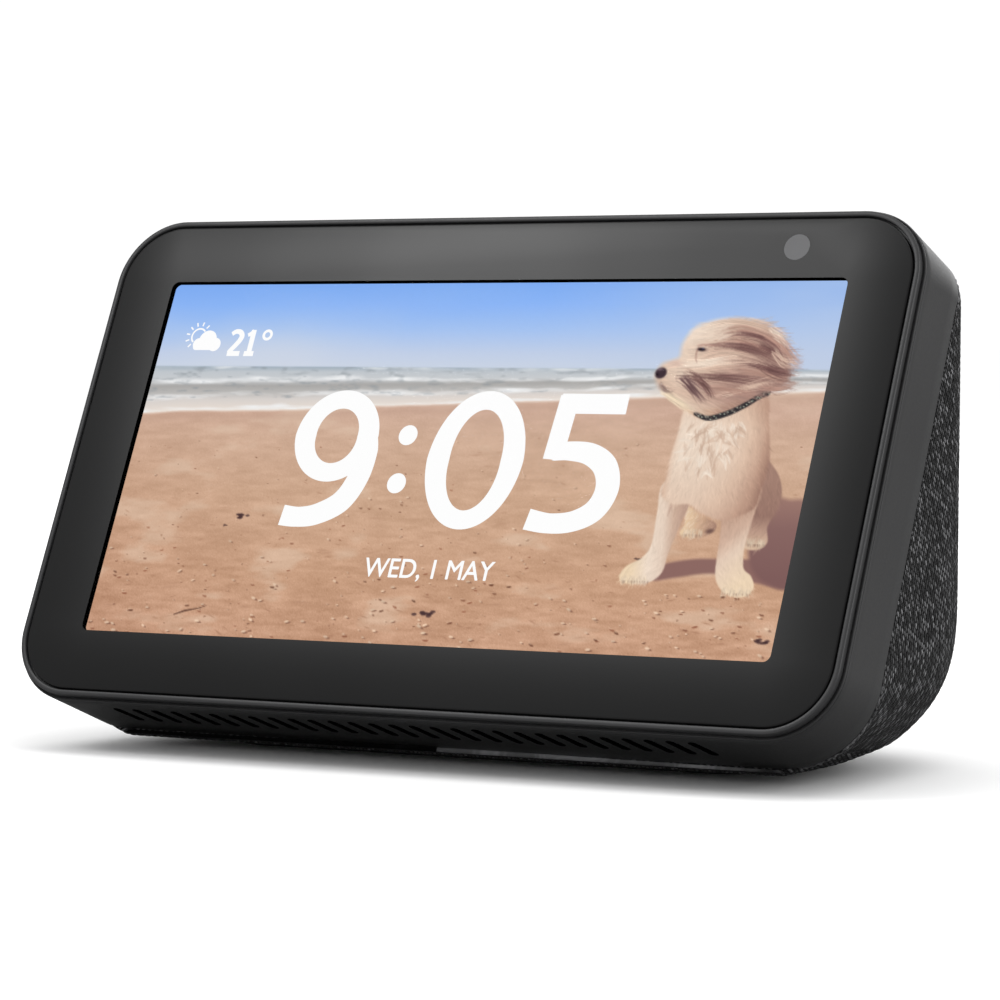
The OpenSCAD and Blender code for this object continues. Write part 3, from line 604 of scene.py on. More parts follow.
def relief(u, w):
    """Height of the twill above its ground, 0 to 1: every second rib, which the mesh can carry."""
    s = (u * math.cos(RIB_LEAN) - w * math.sin(RIB_LEAN)) / (2 * RIB)
    t = (w * math.cos(RIB_LEAN) + u * math.sin(RIB_LEAN)) / LOOP + math.floor(s) * 0.41
    return abs(math.sin(s * math.pi)) ** 0.7 * abs(math.sin(t * math.pi)) ** 0.5


PORT = ((13, 45), (7.6, 17.2))


def make_fabric():
    bm = bmesh.new()
    pts = [panel(x, 13.2, z) for x, z in seam_outline(0.05, 14)]
    for i in range(57):
        z = BASE_Z + 0.1 + (79 - BASE_Z - 0.1) * (i / 56) ** 1.25
        back, side, r = rear_shape(z)
        front = min(PANEL_Y + (BAND_D + 1 + (z - PANEL_Z) * SL) / CL, back - r)
        half = [(side - 0.05, front)] + [(side - r + (r - 0.05) * math.cos(a), back - r + (r - 0.05) * math.sin(a))
                                         for a in np.radians(np.arange(0, 90.1, 4.5))]
        pts += [Vector((s * x, y, z)) * MM for x, y in half for s in (-1, 1)]
    for p in pts:
        bm.verts.new(p)
    hull = bmesh.ops.convex_hull(bm, input=bm.verts)
    spare = {g for g in hull["geom_interior"] + hull["geom_unused"] if isinstance(g, bmesh.types.BMVert)}
    bmesh.ops.delete(bm, geom=list(spare), context="VERTS")
    ob = loose_object("fabric_cover_cloth", bm)
    mod = ob.modifiers.new("r", "REMESH")
    mod.mode = "VOXEL"
    mod.voxel_size = 0.5 * MM
    mod = ob.modifiers.new("s", "SMOOTH")
    mod.factor = 0.5
    mod.iterations = 8
    apply_modifiers(ob)
    bm = bmesh.new()
    bm.from_mesh(ob.data)
    seam = panel(0, BAND_D + 0.15, 0)
    depth = Vector((0, CL, -SL))
    bmesh.ops.bisect_plane(bm, geom=bm.verts[:] + bm.edges[:] + bm.faces[:], plane_co=seam, plane_no=depth,
                           clear_inner=True)
    x_mid, z_mid = sum(PORT[0]) / 2, sum(PORT[1]) / 2
    hx, hz = (PORT[0][1] - PORT[0][0]) / 2, (PORT[1][1] - PORT[1][0]) / 2

    def rounded_distance(a, b, hw, hh, r):
        """Signed distance outside a rounded rectangle."""
        dx, dy = abs(a) - hw + r, abs(b) - hh + r
        return math.hypot(max(dx, 0), max(dy, 0)) + min(max(dx, dy), 0) - r

    def port_gap(p):
        return rounded_distance(p[0] / MM - x_mid, p[2] / MM - z_mid, hx, hz, 2.0) if p[1] > 0.02 else 9.0

    def foot_gap(p):
        return rounded_distance(p[0] / MM, p[1] / MM - FOOT_Y, 49.4, 13.4, 8.4) if p[2] < 2.2 * MM else 9.0

    for gap in (port_gap, foot_gap):
        gone = [v for v in bm.verts if gap(v.co) < 0]
        bmesh.ops.delete(bm, geom=gone, context="VERTS")
        rim = [v for v in bm.verts if v.is_boundary and gap(v.co) < 2.0]
        for _ in range(3):
            for v in rim:
                g = gap(v.co)
                e = 0.02 * MM
                axes = (Vector((e, 0, 0)), Vector((0, 0, e) if gap is port_gap else (0, e, 0)))
                grad = sum((a * ((gap(v.co + a) - g) / (e / MM)) for a in axes), Vector())
                if grad.length > 0:
                    v.co -= grad.normalized() * g * MM
    bm.normal_update()
    bm.verts.layers.float.new("ground")
    uv = bm.loops.layers.uv.new("weave")
    table = {v: weave_uv(v.co, v.normal) for v in bm.verts}
    for f in bm.faces:
        us = [table[l.vert] for l in f.loops]
        flip = max(u[0] for u in us) - min(u[0] for u in us) > 40
        for l, (u, w) in zip(f.loops, us):
            l[uv].uv = (abs(u) if flip else u, w)
    for v in bm.verts:
        if not v.is_boundary:
            v.co += v.normal * (relief(*table[v]) - 0.75) * 0.11 * MM
    # Turned-in edges: at the seam towards the case, and at the port pocket inwards
    edges = [e for e in bm.edges if e.is_boundary]
    out = bmesh.ops.extrude_edge_only(bm, edges=edges)
    moved = [g for g in out["geom"] if isinstance(g, bmesh.types.BMVert)]
    centre = panel(0, BAND_D + 2, 0)
    for v in moved:
        if abs(port_gap(v.co)) < 0.3:
            v.co += Vector((0, -1.6 * MM, 0))
        elif abs(foot_gap(v.co)) < 0.3:
            v.co += Vector((0, 0, 0.8 * MM))
        else:
            pull = centre - v.co
            pull -= depth * pull.dot(depth)
            v.co += pull.normalized() * 0.8 * MM
    bm.to_mesh(ob.data)
    bm.free()
    ob.data.materials.clear()
    ob.data.materials.append(M["fabric"])
    ob.data.shade_smooth()
    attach(ob, "case")
    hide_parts("fabric_cover")
    return ob


def make_hem():
    """The turned edge of the cloth at the seam: a thin plied roll with a loop at every rib."""
    dense = seam_outline(0.42, 60)
    pts = np.array(dense + dense[:1])
    seg = np.hypot(*np.diff(pts, axis=0).T)
    total = seg.sum()
    s = np.concatenate([[0], np.cumsum(seg)])
    loops = int(total / 1.15)
    n = loops * 6
    at = np.arange(n) / n * total
    xs, zs = np.interp(at, s, pts[:, 0]), np.interp(at, s, pts[:, 1])
    bm = bmesh.new()
    rings = []
    for i in range(n):
        x, z = xs[i], zs[i]
        tx, tz = xs[(i + 1) % n] - xs[i - 1], zs[(i + 1) % n] - zs[i - 1]
        k = math.hypot(tx, tz)
        nx, nz = tz / k, -tx / k
        phase = 2 * math.pi * i / 6
        r = 0.27 + 0.08 * math.cos(phase)
        ring = []
        for j in range(8):
            a = 2 * math.pi * j / 8 + 0.35 * math.sin(phase)
            out = r * math.cos(a)
            ring.append(panel(x + nx * out, BAND_D + 0.72 + 1.2 * r * math.sin(a), z + nz * out))
        rings.append(ring)
    loft(bm, rings, closed=True)
    return finish_mesh("fabric_hem", bm, [M["hem"]], sharp=80)


def make_gasket():
    """The black joint between the band and the cloth."""
    bm = bmesh.new()
    profile = [(BAND_D - 0.05, 0.3), (BAND_D + 0.02, 0.22), (BAND_D + 0.36, 0.22), (BAND_D + 0.45, 0.3),
               (BAND_D + 0.45, 1.6), (BAND_D - 0.05, 1.6)]
    loft(bm, flat_rings(lambda i: seam_outline(i, 20), profile), closed=True)
    finish_mesh("seam_gasket", bm, [M["black"]])


cover = make_fabric()
hem = make_hem()
make_gasket()

# ---------------------------------------------------------------- buttons, shutter and foot


def capsule_bar(bm, x0, x1, v0, v1, z, w, h, mat=0):
    """A low rounded bar on the top face between two places."""
    dx, dv = x1 - x0, v1 - v0
    length = math.hypot(dx, dv) + w
    c, s = (dx / (length - w), dv / (length - w)) if length > w + 1e-6 else (1, 0)
    cx, cv = (x0 + x1) / 2, (v0 + v1) / 2
    rings = []
    for zz, g in ((z - 0.05, 0), (z + 0.6 * h, 0), (z + h, 0.25 * w)):
        rings.append([panel(cx + a * c - b * s, cv + a * s + b * c, zz)
                      for a, b in pill(length - 2 * g, w / 2 - g, 5)])
    loft(bm, rings, mat=mat)


def arc_bar(bm, cx, cv, r, a0, a1, z, w, h, mat=0, n=10):
    """A low bar bent round an arc on the top face."""
    rings = []
    for i in range(n + 1):
        a = math.radians(a0 + (a1 - a0) * i / n)
        rings.append([panel(cx + (r + dr) * math.cos(a), cv + (r + dr) * math.sin(a), z + dz)
                      for dr, dz in ((-w / 2, -0.05), (-w / 2, 0.6 * h), (-w / 4, h), (w / 4, h),
                                     (w / 2, 0.6 * h), (w / 2, -0.05))])
    loft(bm, rings, mat=mat)


def make_button(name, x, mark):
    """A key's cap with its symbol, and the soft plunger under it."""
    bm = bmesh.new()
    top = 42.5
    loft(bm, up_rings(lambda g: pill(10 + 2 * g, 2.2 + g, 14), x, KEY_V,
                      [(38.4, 0.55), (38.45, 0.6), (39.3, 0.6), (39.4, 0.52), (39.4, 0.0), (top - 0.5, 0.0),
                       (top - 0.2, -0.06), (top - 0.05, -0.2), (top, -0.45), (top - 0.03, -0.8),
                       (top - 0.09, -1.5), (top - 0.12, -2.1)]))
    loft(bm, up_rings(round_shape(1.4), x, KEY_V, [(37.4, -0.15), (37.55, 0), (38.6, 0)]))
    z = top - 0.13
    if mark in ("minus", "plus"):
        capsule_bar(bm, x - 1.0, x + 1.0, KEY_V, KEY_V, z, 0.36, 0.09, 1)
        if mark == "plus":
            capsule_bar(bm, x, x, KEY_V - 1, KEY_V + 1, z, 0.36, 0.092, 1)
    else:
        capsule_bar(bm, x, x, 7.35, 8.35, z, 0.62, 0.09, 1)
        arc_bar(bm, x, 7.55, 0.72, 180, 360, z, 0.18, 0.08, 1)
        capsule_bar(bm, x, x, 6.35, 6.7, z, 0.18, 0.08, 1)
        capsule_bar(bm, x - 1.15, x + 1.15, 6.5, 8.75, z, 0.2, 0.1, 1)
    finish_mesh(name + "_cap", bm, [M["button"], M["symbol"]], body=name,
                replaces=[name + "_button"])
    bm = bmesh.new()
    loft(bm, up_rings(round_shape(0.95), x, KEY_V,
                      [(36.2, -0.25), (36.28, -0.1), (36.45, 0), (37.3, 0), (37.4, -0.08)]))
    finish_mesh(name + "_foot", bm, [M["soft"]], body=name, replaces=[name + "_plunger"])


def make_shutter():
    bm = bmesh.new()
    x0, v0, top = SHUTTER_X, SHUTTER_V, 42.75
    soft_box(bm, panel, (x0 - 1.6, CAMERA_X + 2.9), (1.6, 2.0), (33.7, 38.8), 0.12)
    soft_box(bm, panel, (x0 - 1.6, x0 + 0.4), (1.75, v0 - 1.8), (35.7, 38.8), 0.15)
    soft_box(bm, panel, (x0 - 3.2, x0 + 1), (v0 - 2.4, v0 + 2.4), (38.79, 39.7), 0.2)
    loft(bm, up_rings(lambda g: pill(4 + 2 * g, 1.15 + g, 10), x0, v0,
                      [(39.6, 0), (top - 0.42, 0), (top - 0.2, -0.05), (top - 0.09, -0.16), (top - 0.06, -0.4)]))
    for k in (-1, -0.5, 0, 0.5, 1):
        capsule_bar(bm, x0 + k, x0 + k, v0 - 0.5, v0 + 0.5, top - 0.07, 0.24, 0.07)
    finish_mesh("shutter", bm, [M["shutter"]], body="shutter", replaces=["shutter_slider"])


def make_foot():
    bm = bmesh.new()
    shape = lambda g: rounded(49 + g, 13 + g, 8 + g, 16, 0, FOOT_Y)
    profile = [(2.4, -0.1), (2.3, 0.0), (0.45, 0.0), (0.15, -0.1), (0.0, -0.4), (0.0, -2.85), (0.08, -3.0),
               (0.55, -3.08), (0.6, -3.2), (0.6, -4.0), (0.55, -4.12), (0.08, -4.2), (0.0, -4.35),
               (0.0, -7.0)]
    loft(bm, [[Vector((x, y, z)) * MM for x, y in shape(g)] for z, g in profile])
    # low studs for grip
    for i in range(-13, 14):
        for j in range(-2, 3):
            x, y = i * 3.1 + (1.55 if j % 2 else 0), FOOT_Y + j * 2.4
            loft(bm, [[Vector((x + a, y + b, z)) * MM for a, b in rounded(0.6 - g, 0.6 - g, 0.599 - g, 2)]
                      for z, g in ((0.0, 0.25), (0.05, 0.05), (0.15, 0))])
    finish_mesh("foot", bm, [M["rubber"]], replaces=["foot_pad"])


for key in KEYS:
    make_button(*key)
make_shutter()
make_foot()

# ---------------------------------------------------------------- the lit picture: beach, sea, sky and a small dog

STEP = 0.18
OVER = 2  # paint samples per vertex step
COLS, ROWS = int((SCREEN_W + 1.6) / STEP) + 4, int((SCREEN_H + 1.6) / STEP) + 4
PX = OVER / STEP
HT, WD = ROWS * OVER, COLS * OVER
X0, Z0 = -COLS * STEP / 2, ROWS * STEP / 2


def to_canvas(x, z):
    return (x - X0) * PX, (Z0 - z) * PX


def smooth_noise(nx, nz, seed=0, octaves=3):
    """Seeded value noise over the whole canvas, about 0 to 1."""
    gen = np.random.default_rng(100 + seed)
    out, weight = np.zeros((HT, WD)), 0
    for o in range(octaves):
        a, b = int(nz * 2 ** o) + 2, int(nx * 2 ** o) + 2
        g = gen.random((a + 1, b + 1))
        fz, fx = np.linspace(0, a - 1.001, HT), np.linspace(0, b - 1.001, WD)
        iz, ix = fz.astype(int), fx.astype(int)
        tz, tx = fz - iz, fx - ix
        tz, tx = tz * tz * (3 - 2 * tz), tx * tx * (3 - 2 * tx)
        top = g[iz][:, ix] * (1 - tx) + g[iz][:, ix + 1] * tx
        low = g[iz + 1][:, ix] * (1 - tx) + g[iz + 1][:, ix + 1] * tx
        out += (top * (1 - tz)[:, None] + low * tz[:, None]) * 0.5 ** o
        weight += 0.5 ** o
    return out / weight


def rgb(r, g, b):
    return np.array([r, g, b], float)


def ramp(value, stops):
    keys = [s[0] for s in stops]
    return np.stack([np.interp(value, keys, [s[1][c] for s in stops]) for c in range(3)], -1)


def blend(base, color, alpha):
    alpha = np.clip(alpha, 0, 1)[..., None]
    return base * (1 - alpha) + color * alpha


def paint_beach():
    zz, xx = np.mgrid[0:HT, 0:WD]
    x = X0 + (xx + 0.5) / PX
    z = Z0 - (zz + 0.5) / PX
    streak = smooth_noise(5, 9, 1, 4)
    puff = smooth_noise(4, 4, 2, 4)
    sky = ramp(z, [(15.5, (203, 212, 227)), (18.5, (192, 206, 231)), (22.5, (164, 194, 240)),
                   (27, (138, 180, 245)), (31.1, (124, 170, 241))])
    sky = blend(sky, rgb(212, 218, 229), (0.5 * (puff - 0.42) * 2.2) * np.interp(z, [15, 20, 30], [1, 0.8, 0.15]))
    sky = blend(sky, rgb(186, 202, 229), np.interp(x, [10, 62], [0, 0.6]))
    sky = blend(sky, rgb(120, 165, 238), 0.5 * np.clip(streak - 0.5, 0, 1) * np.interp(z, [20, 30], [0, 1]))
    # the sea runs from the horizon to a shoreline that rises to the right
    horizon = 15.9 + 0.12 * (streak - 0.5)
    shore = np.interp(x, [-62, -30, -8, 20, 62], [7.6, 8.6, 9.6, 10.8, 12.5])
    shore = shore + 0.5 * (smooth_noise(14, 2, 3) - 0.5)
    depth = np.clip((horizon - z) / np.maximum(horizon - shore, 0.5), 0, 1)
    sea = ramp(depth, [(0, (160, 174, 186)), (0.12, (192, 198, 204)), (0.3, (200, 203, 206)),
                       (0.45, (170, 168, 166)), (0.6, (186, 184, 182)), (0.75, (214, 208, 204)),
                       (0.92, (226, 216, 208)), (1, (236, 228, 220))])
    foam = smooth_noise(22, 70, 4, 4)
    fine = smooth_noise(60, 120, 5, 3)
    bands = 0.5 + 0.5 * np.sin(depth * 19 + 5 * smooth_noise(7, 5, 6))
    sea = blend(sea, rgb(242, 243, 244), np.clip((foam * 0.7 + bands * 0.45 - 0.62) * 2.6, 0, 0.95))
    sea = blend(sea, rgb(138, 146, 152), np.clip((fine - 0.6) * 2.2, 0, 0.5) * (depth < 0.75))
    # wet edge, then sand that darkens and warms towards the viewer
    down = shore - z
    sand = ramp(z, [(-31.1, (198, 154, 126)), (-20, (200, 158, 129)), (-6, (205, 168, 141)),
                    (4, (207, 173, 150)), (9, (206, 172, 153)), (13, (208, 176, 156))])
    shade_left = np.interp(x, [-62, -45, -20], [0.35, 0.15, 0]) * np.interp(z, [-31, 5], [1, 0.4])
    sand = blend(sand, rgb(184, 137, 112), shade_left)
    grain = rng.normal(0, 1, (HT, WD))
    patch = smooth_noise(10, 16, 7, 5)
    ripple = smooth_noise(40, 90, 8, 3)
    rough = ((patch - 0.5) * 20 + (ripple - 0.5) * 26 + grain * 6.0)[..., None]
    sand += rough * np.interp(z, [-31, 12], [1.25, 0.5])[..., None]
    sand = blend(sand, rgb(222, 198, 176), np.clip((patch - 0.62) * 3, 0, 0.4))
    sand = blend(sand, rgb(238, 226, 216), np.clip(1 - down / 0.45, 0, 1) * 0.9)
    sand = blend(sand, rgb(186, 152, 134), np.clip(1 - np.abs(down - 1.1) / 1.0, 0, 1) * 0.35)
    img = np.where((z > horizon)[..., None], sky, sea)
    img = np.where((z < shore)[..., None], sand, img)
    img = blend(img, rgb(176, 190, 206), np.clip(1 - np.abs(z - horizon) / 0.18, 0, 1) * 0.5)
    return img


def dab(img, x, z, rx, rz, color, alpha=1.0, angle=0.0, soft=0.35):
    """A soft-edged ellipse."""
    cx, cy = to_canvas(x, z)
    a, b = rx * PX, rz * PX
    m = int(max(a, b) + 3)
    x0, x1 = max(int(cx) - m, 0), min(int(cx) + m + 1, WD)
    y0, y1 = max(int(cy) - m, 0), min(int(cy) + m + 1, HT)
    if x0 >= x1 or y0 >= y1:
        return
    yy, xx = np.mgrid[y0:y1, x0:x1]
    c, s = math.cos(angle), math.sin(angle)
    u, v = (xx - cx) * c - (yy - cy) * s, (xx - cx) * s + (yy - cy) * c
    d = np.sqrt((u / a) ** 2 + (v / b) ** 2)
    img[y0:y1, x0:x1] = blend(img[y0:y1, x0:x1], color, alpha * np.clip((1 - d) / soft, 0, 1))


def mask_of(points, soft=0.12):
    """Soft coverage of a closed outline, smoothed through its points."""
    pts = np.array(points, float)
    n = len(pts)
    dense = []
    for i in range(n):
        p0, p1, p2, p3 = (pts[(i + k) % n] for k in (-1, 0, 1, 2))
        for t in np.arange(0, 1, 0.125):
            dense.append(catmull(p0, p1, p2, p3, t))
    px, py = to_canvas(*np.array(dense).T)
    x0, x1 = max(int(px.min()) - 4, 0), min(int(px.max()) + 5, WD)
    y0, y1 = max(int(py.min()) - 4, 0), min(int(py.max()) + 5, HT)
    yy, xx = np.mgrid[y0:y1, x0:x1].astype(float)
    inside = np.zeros(xx.shape, bool)
    dist = np.full(xx.shape, 1e9)
    for i in range(len(px)):
        ax, ay, bx, by = px[i], py[i], px[(i + 1) % len(px)], py[(i + 1) % len(px)]
        hit = ((ay > yy) != (by > yy)) & (xx < (bx - ax) * (yy - ay) / (by - ay + 1e-9) + ax)
        inside ^= hit
        lx, ly = bx - ax, by - ay
        t = np.clip(((xx - ax) * lx + (yy - ay) * ly) / (lx * lx + ly * ly + 1e-9), 0, 1)
        dist = np.minimum(dist, np.hypot(xx - ax - t * lx, yy - ay - t * ly))
    edge = soft * PX
    cover = np.clip(np.where(inside, dist, -dist) / edge * 0.5 + 0.5, 0, 1)
    return (y0, y1, x0, x1), cover


def fill(img, points, color_of, soft=0.12):
    box, cover = mask_of(points, soft)
    y0, y1, x0, x1 = box
    yy, xx = np.mgrid[y0:y1, x0:x1]
    x, z = X0 + (xx + 0.5) / PX, Z0 - (yy + 0.5) / PX
    img[y0:y1, x0:x1] = blend(img[y0:y1, x0:x1], color_of(x, z), cover)


def strand(img, path, width, color, alpha=0.8):
    """One tapered hair along a few points."""
    pts = np.array(path, float)
    seg = np.hypot(*np.diff(pts, axis=0).T)
    s = np.concatenate([[0], np.cumsum(seg)])
    n = max(int(s[-1] * PX * 1.2), 3)
    at = np.linspace(0, s[-1], n)
    cx, cy = to_canvas(np.interp(at, s, pts[:, 0]), np.interp(at, s, pts[:, 1]))
    t = at / s[-1]
    r = width * PX * (0.35 + 0.65 * np.sin(np.pi * np.clip(t * 0.9 + 0.1, 0, 1)) ** 0.7) * (1 - 0.5 * t)
    x0, x1 = int(cx.min()) - 4, int(cx.max()) + 5
    y0, y1 = int(cy.min()) - 4, int(cy.max()) + 5
    if x0 < 0 or y0 < 0 or x1 > WD or y1 > HT:
        return
    cover = np.zeros((y1 - y0, x1 - x0))
    k = int(max(r.max() + 1.5, 2))
    oy, ox = np.mgrid[-k:k + 1, -k:k + 1]
    ix, iy = np.round(cx).astype(int), np.round(cy).astype(int)
    gx, gy = ix[:, None, None] + ox, iy[:, None, None] + oy
    d = np.hypot(gx - cx[:, None, None], gy - cy[:, None, None])
    val = np.clip(r[:, None, None] - d + 0.5, 0, 1)
    ok = (gx >= x0) & (gx < x1) & (gy >= y0) & (gy < y1)
    np.maximum.at(cover, (gy[ok] - y0, gx[ok] - x0), val[ok])
    img[y0:y1, x0:x1] = blend(img[y0:y1, x0:x1], color, cover * alpha)


def fur(img, points, count, flow, length, width, color_of, alpha=0.75, stray=0.25):
    """Seeded hairs rooted inside an outline, each following a flow direction."""
    box, cover = mask_of(points)
    y0, y1, x0, x1 = box
    ys, xs = np.nonzero(cover > 0.5)
    pick = rng.integers(0, len(ys), count)
    order = np.argsort(ys[pick])
    for i in pick[order]:
        x, z = X0 + (xs[i] + x0 + 0.5) / PX, Z0 - (ys[i] + y0 + 0.5) / PX
        path = [(x, z)]
        long = length * rng.uniform(0.6, 1.3)
        bend = rng.normal(0, stray)
        for k in range(5):
            dx, dz = flow(*path[-1])
            c, s = math.cos(bend * (0.4 + 0.25 * k)), math.sin(bend * (0.4 + 0.25 * k))
            dx, dz = dx * c - dz * s, dx * s + dz * c
            path.append((path[-1][0] + dx * long / 5, path[-1][1] + dz * long / 5))
        strand(img, path, width * rng.uniform(0.7, 1.3), color_of(x, z) * rng.uniform(0.86, 1.12), alpha)


CREAM, TAN = rgb(236, 217, 199), rgb(204, 170, 148)
BROWN, DARK = rgb(164, 128, 116), rgb(104, 76, 74)


def unit(a):
    return math.cos(math.radians(a)), math.sin(math.radians(a))


def curve(points, n=24):
    """A smooth path through a few points."""
    pts = [np.array(p, float) for p in points]
    out = []
    for t in np.linspace(0, len(pts) - 1.001, n):
        i, f = int(t), t - int(t)
        p0, p1, p2, p3 = (pts[min(max(i + k, 0), len(pts) - 1)] for k in (-1, 0, 1, 2))
        out.append(catmull(p0, p1, p2, p3, f))
    return np.array(out)


def lock(img, points, tone, count=34, spread=0.42, alpha=0.7, width=0.07):
    """A lock of blown hair: many hairs that follow one curve and part from it towards their tips."""
    path = curve(points)
    side = np.gradient(path, axis=0)[:, ::-1] * (-1, 1)
    side /= np.linalg.norm(side, axis=1)[:, None]
    for k in range(count):
        a, b = int(rng.uniform(0, 10)), int(rng.uniform(14, 24))
        off = np.linspace(rng.normal(0, spread), rng.normal(0, spread * 1.5), len(path))
        hair = (path + side * off[:, None])[a:b:2]
        strand(img, hair, width * rng.uniform(0.6, 1.3), tone * rng.uniform(0.8, 1.2),
               alpha * rng.uniform(0.6, 1.1))


def single(tone):
    """A tone for one place at a time, as hairs need it."""
    return lambda x, z: np.array(tone(x, z)).reshape(3)


def paw(img, x, z, half):
    """Shaggy toes along the front of a paw."""
    for k in range(5):
        dab(img, x + half * (0.45 * k - 0.85) + rng.normal(0, 0.06), z - 0.05, 0.14, 0.26, DARK, 0.3, 0, 0.6)
    for k in range(70):
        sx, top = x + rng.uniform(-half, half), z + rng.uniform(0, 1.1)
        path = [(sx, top), (sx + rng.normal(0, 0.1), top - 0.35), (sx + rng.normal(0, 0.25), top - 0.7)]
        strand(img, path, 0.065, rgb(238, 216, 190) * rng.uniform(0.78, 1.05), 0.75)
    for k in range(12):
        sx = x + rng.uniform(-half, half)
        strand(img, [(sx, z + 0.1), (sx + 0.05, z - 0.2), (sx + 0.1, z - 0.42)], 0.06, rgb(120, 88, 76), 0.6)


def paint_dog(img):
    # its shadow on the sand
    fill(img, [(40.5, -16.5), (46, -15.2), (52, -15), (58, -14.6), (63.5, -12), (63.5, -19), (57, -18.6),
               (50, -17.4), (44, -18.2), (40, -18.8)], lambda x, z: rgb(140, 104, 98), 0.25)
    fill(img, [(57, -5), (60, -5.2), (63.5, -6.5), (63.5, -18.5), (59, -18.6), (56, -16), (55, -12), (57, -8)],
         lambda x, z: ramp(z, [(-18, (126, 92, 90)), (-10, (136, 102, 98)), (-5, (156, 120, 110))]), 0.4)
    # hind quarters and hind paws, in shade
    hind = [(53.5, 3.5), (55.6, 0.8), (57.4, -1.2), (58.6, -4), (58.4, -7), (57.4, -9.6), (57.9, -12.2),
            (56.2, -13.4), (54, -12.9), (53.6, -10), (52, -4)]

    def hind_tone(x, z):
        return ramp(z, [(-13, (214, 184, 158)), (-10.5, (186, 152, 134)), (-8, (150, 116, 104)),
                        (-3, (160, 126, 112)), (4, (168, 134, 120))])

    fill(img, hind, hind_tone)
    fur(img, hind, 500, lambda x, z: unit(-75 if z > -9 else -120), 1.2, 0.06,
        single(hind_tone), 0.6)
    left_hind = [(43.3, -6.8), (46, -8.2), (48.6, -9.3), (48.6, -10.6), (46.9, -11.6), (44.4, -11.8),
                 (42.9, -11.1), (43.4, -9.6)]
    fill(img, left_hind,
         lambda x, z: ramp(x, [(43, (232, 202, 166)), (46, (206, 170, 140)), (49, (150, 114, 100))]))
    fur(img, left_hind, 160, lambda x, z: unit(-130), 0.8, 0.055, lambda x, z: CREAM if x < 45.5 else TAN, 0.6)
    paw(img, 45, -11.3, 1.7)
    dab(img, 47.9, -10.6, 1.0, 0.55, rgb(88, 62, 60), 0.7, 0.2, 0.7)
    paw(img, 56, -12.6, 1.5)
    # front legs and paws, under the trunk's fur
    left = [(38.3, -3), (38.3, -8), (38.5, -13), (37.4, -15.2), (35.1, -16.6), (34.2, -18.2), (34.8, -19.2),
            (37, -19.5), (39.8, -19), (41.4, -17.2), (41.7, -14.2), (42.6, -10), (43.4, -6.4), (43, -3)]

    def left_tone(x, z):
        return ramp(x + z * 0.14, [(33.5, (236, 212, 180)), (36.4, CREAM), (38.6, (228, 206, 188)),
                                   (40.2, (204, 174, 154)), (42.4, (180, 148, 132))])

    fill(img, left, left_tone)
    fur(img, left, 700, lambda x, z: unit(-92 if z > -14 else -125), 1.0, 0.055,
        single(left_tone), 0.6)
    strand(img, [(40.3, -3.8), (40.6, -5.6), (40.2, -8.4)], 0.35, rgb(160, 124, 110), 0.35)
    right = [(49.4, -7), (49.9, -12), (50.1, -15.4), (50.6, -18.2), (52.2, -20.2), (54, -20.9), (56.2, -20.8),
             (57.2, -19.4), (56.4, -17.6), (54.8, -16.2), (54.3, -12.6), (54.7, -8), (54.9, -3), (50, -3)]

    def right_tone(x, z):
        return ramp(z + (51.5 - x) * 0.9, [(-22, (236, 212, 182)), (-15, (228, 204, 184)),
                                           (-11.5, (208, 176, 156)), (-7, (194, 160, 140)),
                                           (-3, (206, 174, 152))])

    fill(img, right, right_tone)
    fur(img, right, 700, lambda x, z: unit(-88 if z > -16 else -60), 1.0, 0.055,
        single(right_tone), 0.6)
    paw(img, 37, -19.1, 2.4)
    paw(img, 54.4, -20.5, 2.4)
    # trunk and chest
    trunk = [(39.2, 9.2), (38.9, 5.5), (38.5, 1.5), (38.6, -1.8), (38.3, -4.8), (40.6, -6.4), (43.4, -6.4),
             (46, -7.8), (49.4, -8.8), (52.4, -8), (54.6, -6.6), (55, -4), (55.4, 0.4), (54.8, 4),
             (53.9, 7.4), (52.6, 11.4), (47, 9.4), (43, 8)]

    def trunk_tone(x, z):
        side = np.interp(x, [38.3, 39.6, 44, 48, 51, 53.5, 55.4], [0.26, 0.02, 0.03, 0.14, 0.3, 0.52, 0.85])
        low = np.interp(z, [-9, -6, -3, 1, 6, 10], [0.5, 0.3, 0.2, 0.05, 0.0, 0.25])
        return ramp(np.clip(side + low * 0.7, 0, 1), [(0, CREAM), (0.35, (220, 190, 168)),
                                                     (0.65, (190, 154, 134)), (1, (150, 114, 100))])

    fill(img, trunk, trunk_tone, 0.2)
    fur(img, trunk, 1700, lambda x, z: unit(-90 + (x - 45.5) * 3), 1.3, 0.06, single(trunk_tone), 0.55, 0.4)
    for k in range(88):
        x, z = rng.uniform(40.6, 49.8), rng.uniform(-1.6, 7.2)
        if z < -1.6 + abs(x - 45.2) * 0.7:
            continue
        turn = -90 + (x - 45) * 6 + rng.normal(0, 32)
        tone = rgb(246, 231, 215) if rng.random() < 0.5 else rgb(206, 176, 155)
        dx, dz = unit(turn)
        tip = (x + dx * 1.8, z + dz * 1.8)
        for n in range(8):
            sx, sz = x + rng.normal(0, 0.38), z + rng.normal(0, 0.3)
            mid = ((sx + tip[0]) / 2 + rng.normal(0, 0.1), (sz + tip[1]) / 2 + 0.1)
            strand(img, [(sx, sz), mid, tip], 0.075, tone * rng.uniform(0.9, 1.05), 0.5)
